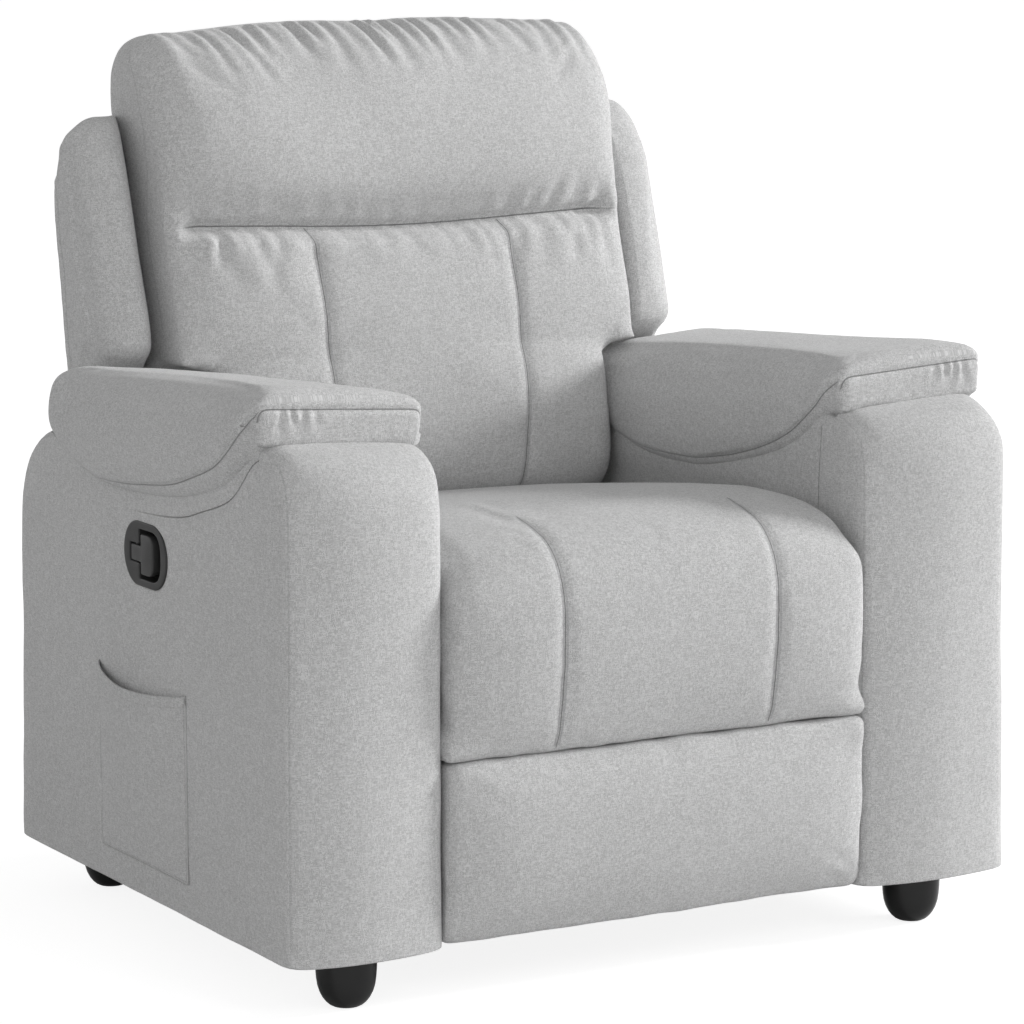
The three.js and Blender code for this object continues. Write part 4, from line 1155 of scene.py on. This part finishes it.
def make_panel():
    """The thin outer back: narrow between the arms, as wide as the wings above them."""
    low_half, high_half, head_half = 261, 373, 288
    half = [(low_half, 250, 10), (low_half, 604, 4), (high_half, 604, 10), (high_half, 840, 80)]
    half += [(head_half + 8, 889, 10), (head_half, 912, 10), (head_half - 12, 984, 60)]
    others = [(-x, z, r) for x, z, r in half[::-1]]
    outline = rounded(others[-1:] + half + others[:-1])
    rings = []
    for depth, inset in ((0.0, 3), (1.5, 1), (4, 0), (8, 0), (10.5, 1), (12, 3)):
        ring = drawn_in(outline, inset * MM)
        rings.append([(x, behind(panel_rear(z / MM) + depth), z) for x, z in ring])
    piece = loft("back_panel_skin", rings)
    remesh(piece, 6)
    r = Relief(piece)
    edge, along = nearest_on(closed(outline), r.co[:, [0, 2]])
    edge = np.abs(edge)
    rear = r.no[:, 1] > 0.6
    r.move += rear * 4 * MM * ramp(0, 70 * MM, edge)
    seam = edge - 12 * MM
    r.crease(seam, 1.4, 5, rear)
    r.pucker(edge, along, 1.2, 30, 44, 101, rear)
    r.soften(1.4, 130, 103, rear)
    r.apply()
    mark_seam(piece, "a", seam, along, rear * 1.0)
    loop = side_view([(660, 250, 2), (672, 250, 2), (796, 985, 2), (784, 985, 2)])
    finish_soft(piece, "back", "back_panel", fill=0.9, loop=loop)


make_panel()

# ---- side pocket

POCKET_FRONT, POCKET_REAR, POCKET_BOTTOM = behind(259), behind(486), 97 * MM


def pocket_top(s):
    """The height of the pocket's slack top hem, for s from 0 at its front to 1 at its rear."""
    sag = 15 * MM * np.sin(np.pi * np.clip(s, 0, 1)) ** 0.8 * (0.75 + 0.5 * s)
    return 307 * MM + 2 * MM * s - sag


def make_pocket():
    """A patch sewn to the arm along its sides and bottom, whose hemmed top edge gapes."""
    columns, rows = 64, 60
    s, t = np.mgrid[0 : columns + 1, 0 : rows + 1] / np.reshape((columns, rows), (2, 1, 1))
    arch = np.sin(np.pi * s)
    gape = 14 * MM * arch**0.55 * (0.55 + 0.65 * s) * t**2.4
    belly = 2.6 * MM * arch * np.sin(np.pi * np.minimum(1, t * 1.1)) ** 0.7
    pull = 1.2 * MM * np.sin(7 * s + 9 * t) * arch * t
    x = -arm_outer - 2.6 * MM - gape - belly - pull
    y = POCKET_FRONT + (POCKET_REAR - POCKET_FRONT) * s
    z = POCKET_BOTTOM + (pocket_top(s) - POCKET_BOTTOM) * t
    lows = [i * (rows + 1) + j for i in range(columns) for j in range(rows)]
    faces = [(a, a + 1, a + rows + 2, a + rows + 1) for a in lows]
    piece = new_piece("side_pocket_skin", np.stack([x, y, z], axis=-1).reshape(-1, 3), faces)
    modify(piece, "SOLIDIFY", thickness=1.6 * MM, offset=-1)
    x, y, z = points_of(piece).T
    from_top = pocket_top((y - POCKET_FRONT) / (POCKET_REAR - POCKET_FRONT)) - z
    mark_seam(piece, "a", from_top - 12 * MM, y, 0.12)
    edge = np.minimum(np.minimum(y - POCKET_FRONT, POCKET_REAR - y), z - POCKET_BOTTOM)
    mark_seam(piece, "b", edge - 3 * MM, y + z, 0.3 * (from_top > 4 * MM))
    lay_weave(piece, arm_outline())
    dress(piece, "cloth")
    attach(piece, "base")
    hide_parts("side_pocket")


make_pocket()

# ---- cup, lever and feet


def tee_outline(front, shoulder, end, wide, narrow, corner, small=2.0):
    """A T on its side around the cup's centre, in millimetres."""
    low = [(-front, -wide, corner), (shoulder, -wide, small), (shoulder, -narrow, small * 0.6)]
    low += [(end, -narrow, small)]
    return rounded(low + [(y, -z, r) for y, z, r in low[::-1]], 1.5)


def oval_around(points, length, height):
    """For each point, the one in the same direction on an oval of two half circles."""
    reach, radius = (length - height) / 2, height / 2
    way = points / np.linalg.norm(points, axis=1, keepdims=True)
    y, z = np.abs(way).T
    at_end = y * reach + np.sqrt(np.maximum(0, radius**2 - (z * reach) ** 2))
    far = np.where(y * radius < reach * z, radius / np.maximum(z, 1e-9), at_end)
    return way * far[:, None]


def cup_ring(points, x):
    return [(x, CUP_Y + y, CUP_Z + z) for y, z in points]


def finish_hard(piece, body, slot_name, *nodes):
    dress(piece, slot_name)
    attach(piece, body)
    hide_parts(*nodes)


def make_cup():
    tee = tee_outline(40, 15, 39, 27.5, 10.5, 24)
    rings = []
    for inset, x in ((0, 31), (0, 2.6), (0, 1.1), (0.2, 0.5), (1.0, 0.1), (2.6, 0)):
        length, height = (size - 2 * inset * MM for size in CUP_SIZE)
        rings.append(cup_ring(oval_around(tee, length, height), cup_face + x * MM))
    for inset, x in ((-2.0, 0), (-0.7, 0.2), (-0.1, 0.9), (0, 2), (0, 28), (1.2, 29.5)):
        rings.append(cup_ring(drawn_in(tee, inset * MM), cup_face + x * MM))
    finish_hard(loft("lever_bezel_skin", rings), "base", "cup_plastic", "lever_bezel")


def make_lever():
    lever_low, lever_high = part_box("release_lever")
    tee = tee_outline(22, 9, 33.5, 22.5, 9, 13)
    x0, x1 = lever_low.x - 3 * MM, lever_high.x
    places = [(1.0, x1), (0.3, x1 - 0.4 * MM), (0, x1 - 1.2 * MM), (0, x0 + 1.8 * MM)]
    places += [(0.3, x0 + 0.8 * MM), (1.0, x0 + 0.2 * MM), (1.6, x0)]
    rings = [cup_ring(drawn_in(tee, inset * MM), x) for inset, x in places]
    piece = loft("release_lever_skin", rings)
    finish_hard(piece, "release_lever", "lever_plastic", "release_lever")


# A foot's radius and height, from its sole up, in millimetres.
FOOT = [(11, 0), (15, 0.6), (18.5, 2.4), (22, 5.5), (25.5, 10), (28.6, 16), (30.8, 23)]
FOOT += [(32, 31), (32.7, 40), (33, 50), (33, 58), (32.5, 59.5), (31.5, 60)]


def make_foot(node):
    low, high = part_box(node)
    cx, cy = (low.x + high.x) / 2, (low.y + high.y) / 2
    turns = np.linspace(0, 2 * math.pi, 56, endpoint=False)
    round_it = np.stack([np.cos(turns), np.sin(turns)], axis=1)
    rings = [[(cx + x, cy + y, z * MM) for x, y in round_it * radius * MM] for radius, z in FOOT]
    finish_hard(loft(node + "_skin", rings), "base", "foot_plastic", node)


make_cup()
make_lever()
for side_name, _ in SIDES:
    for end_name in ("front", "rear"):
        make_foot(f"foot_{end_name}_{side_name}")

# ---- stage

AMBIENT_SIDE, AMBIENT_TOP = 1.0, 0.13
FLOOR_GLOW = 0.86
FLOOR_REACH = 60
WHITE = (1.0, 1.0, 1.0, 1.0)


def make_camera():
    """The three-quarter view from the sitter's right, a little above the seat."""
    camera = new_object("camera", bpy.data.cameras.new("camera"))
    yaw, pitch = math.radians(29.77), math.radians(8.93)
    camera.location = (-2.2933, -4.0622, 1.1873)
    camera.rotation_euler = (math.pi / 2 - pitch, 0, -yaw)
    set_all(camera.data, sensor_width=36, lens=143.58)
    scene.camera = camera


def area_light(name, place, target, size, power):
    light = bpy.data.lights.new(name, "AREA")
    set_all(light, shape="RECTANGLE", size=size[0], size_y=size[1], energy=power)
    lamp = new_object(name, light)
    lamp.location = place
    lamp.rotation_euler = (Vector(target) - Vector(place)).to_track_quat("-Z", "Y").to_euler()


def make_world():
    """Even light, strongest from the sides and weaker from overhead; the camera sees white."""
    scene.world = bpy.data.worlds.new("studio")
    n = Nodes(scene.world, "Background")
    seen = n.add("ShaderNodeLightPath", output="Is Camera Ray")
    height = n.split(n.place("Generated"))[2]
    light = n.spread(height, 0.0, 1.0, AMBIENT_SIDE, AMBIENT_TOP)
    n.put(n.shader, {"Color": WHITE, "Strength": n.math("MAXIMUM", seen, light)})


def make_floor():
    """A white floor that keeps a light shadow under the chair."""
    far = FLOOR_REACH
    corners = [(-far, -far, 0), (far, -far, 0), (far, far, 0), (-far, far, 0)]
    floor = new_piece("floor", corners, [(0, 1, 2, 3)])
    n = new_material("floor", Roughness=1.0, Specular_IOR_Level=0.0, Emission_Color=WHITE)
    seen = n.add("ShaderNodeLightPath", output="Is Camera Ray")
    glow = {"Base Color": n.blend(seen, grey(0.72), grey(0.35))}
    n.put(n.shader, glow | {"Emission Strength": seen * FLOOR_GLOW})
    floor.data.materials.append(n.owner)


make_camera()
make_world()
make_floor()
area_light("key", (11.4, -2.2, 4.8), (0, 0, 0.55), (2.4, 2.4), 1240)
area_light("front", (0.6, -4.6, 3.6), (0, 0, 0.5), (1.2, 1.8), 40)
scene.view_settings.view_transform = "Standard"
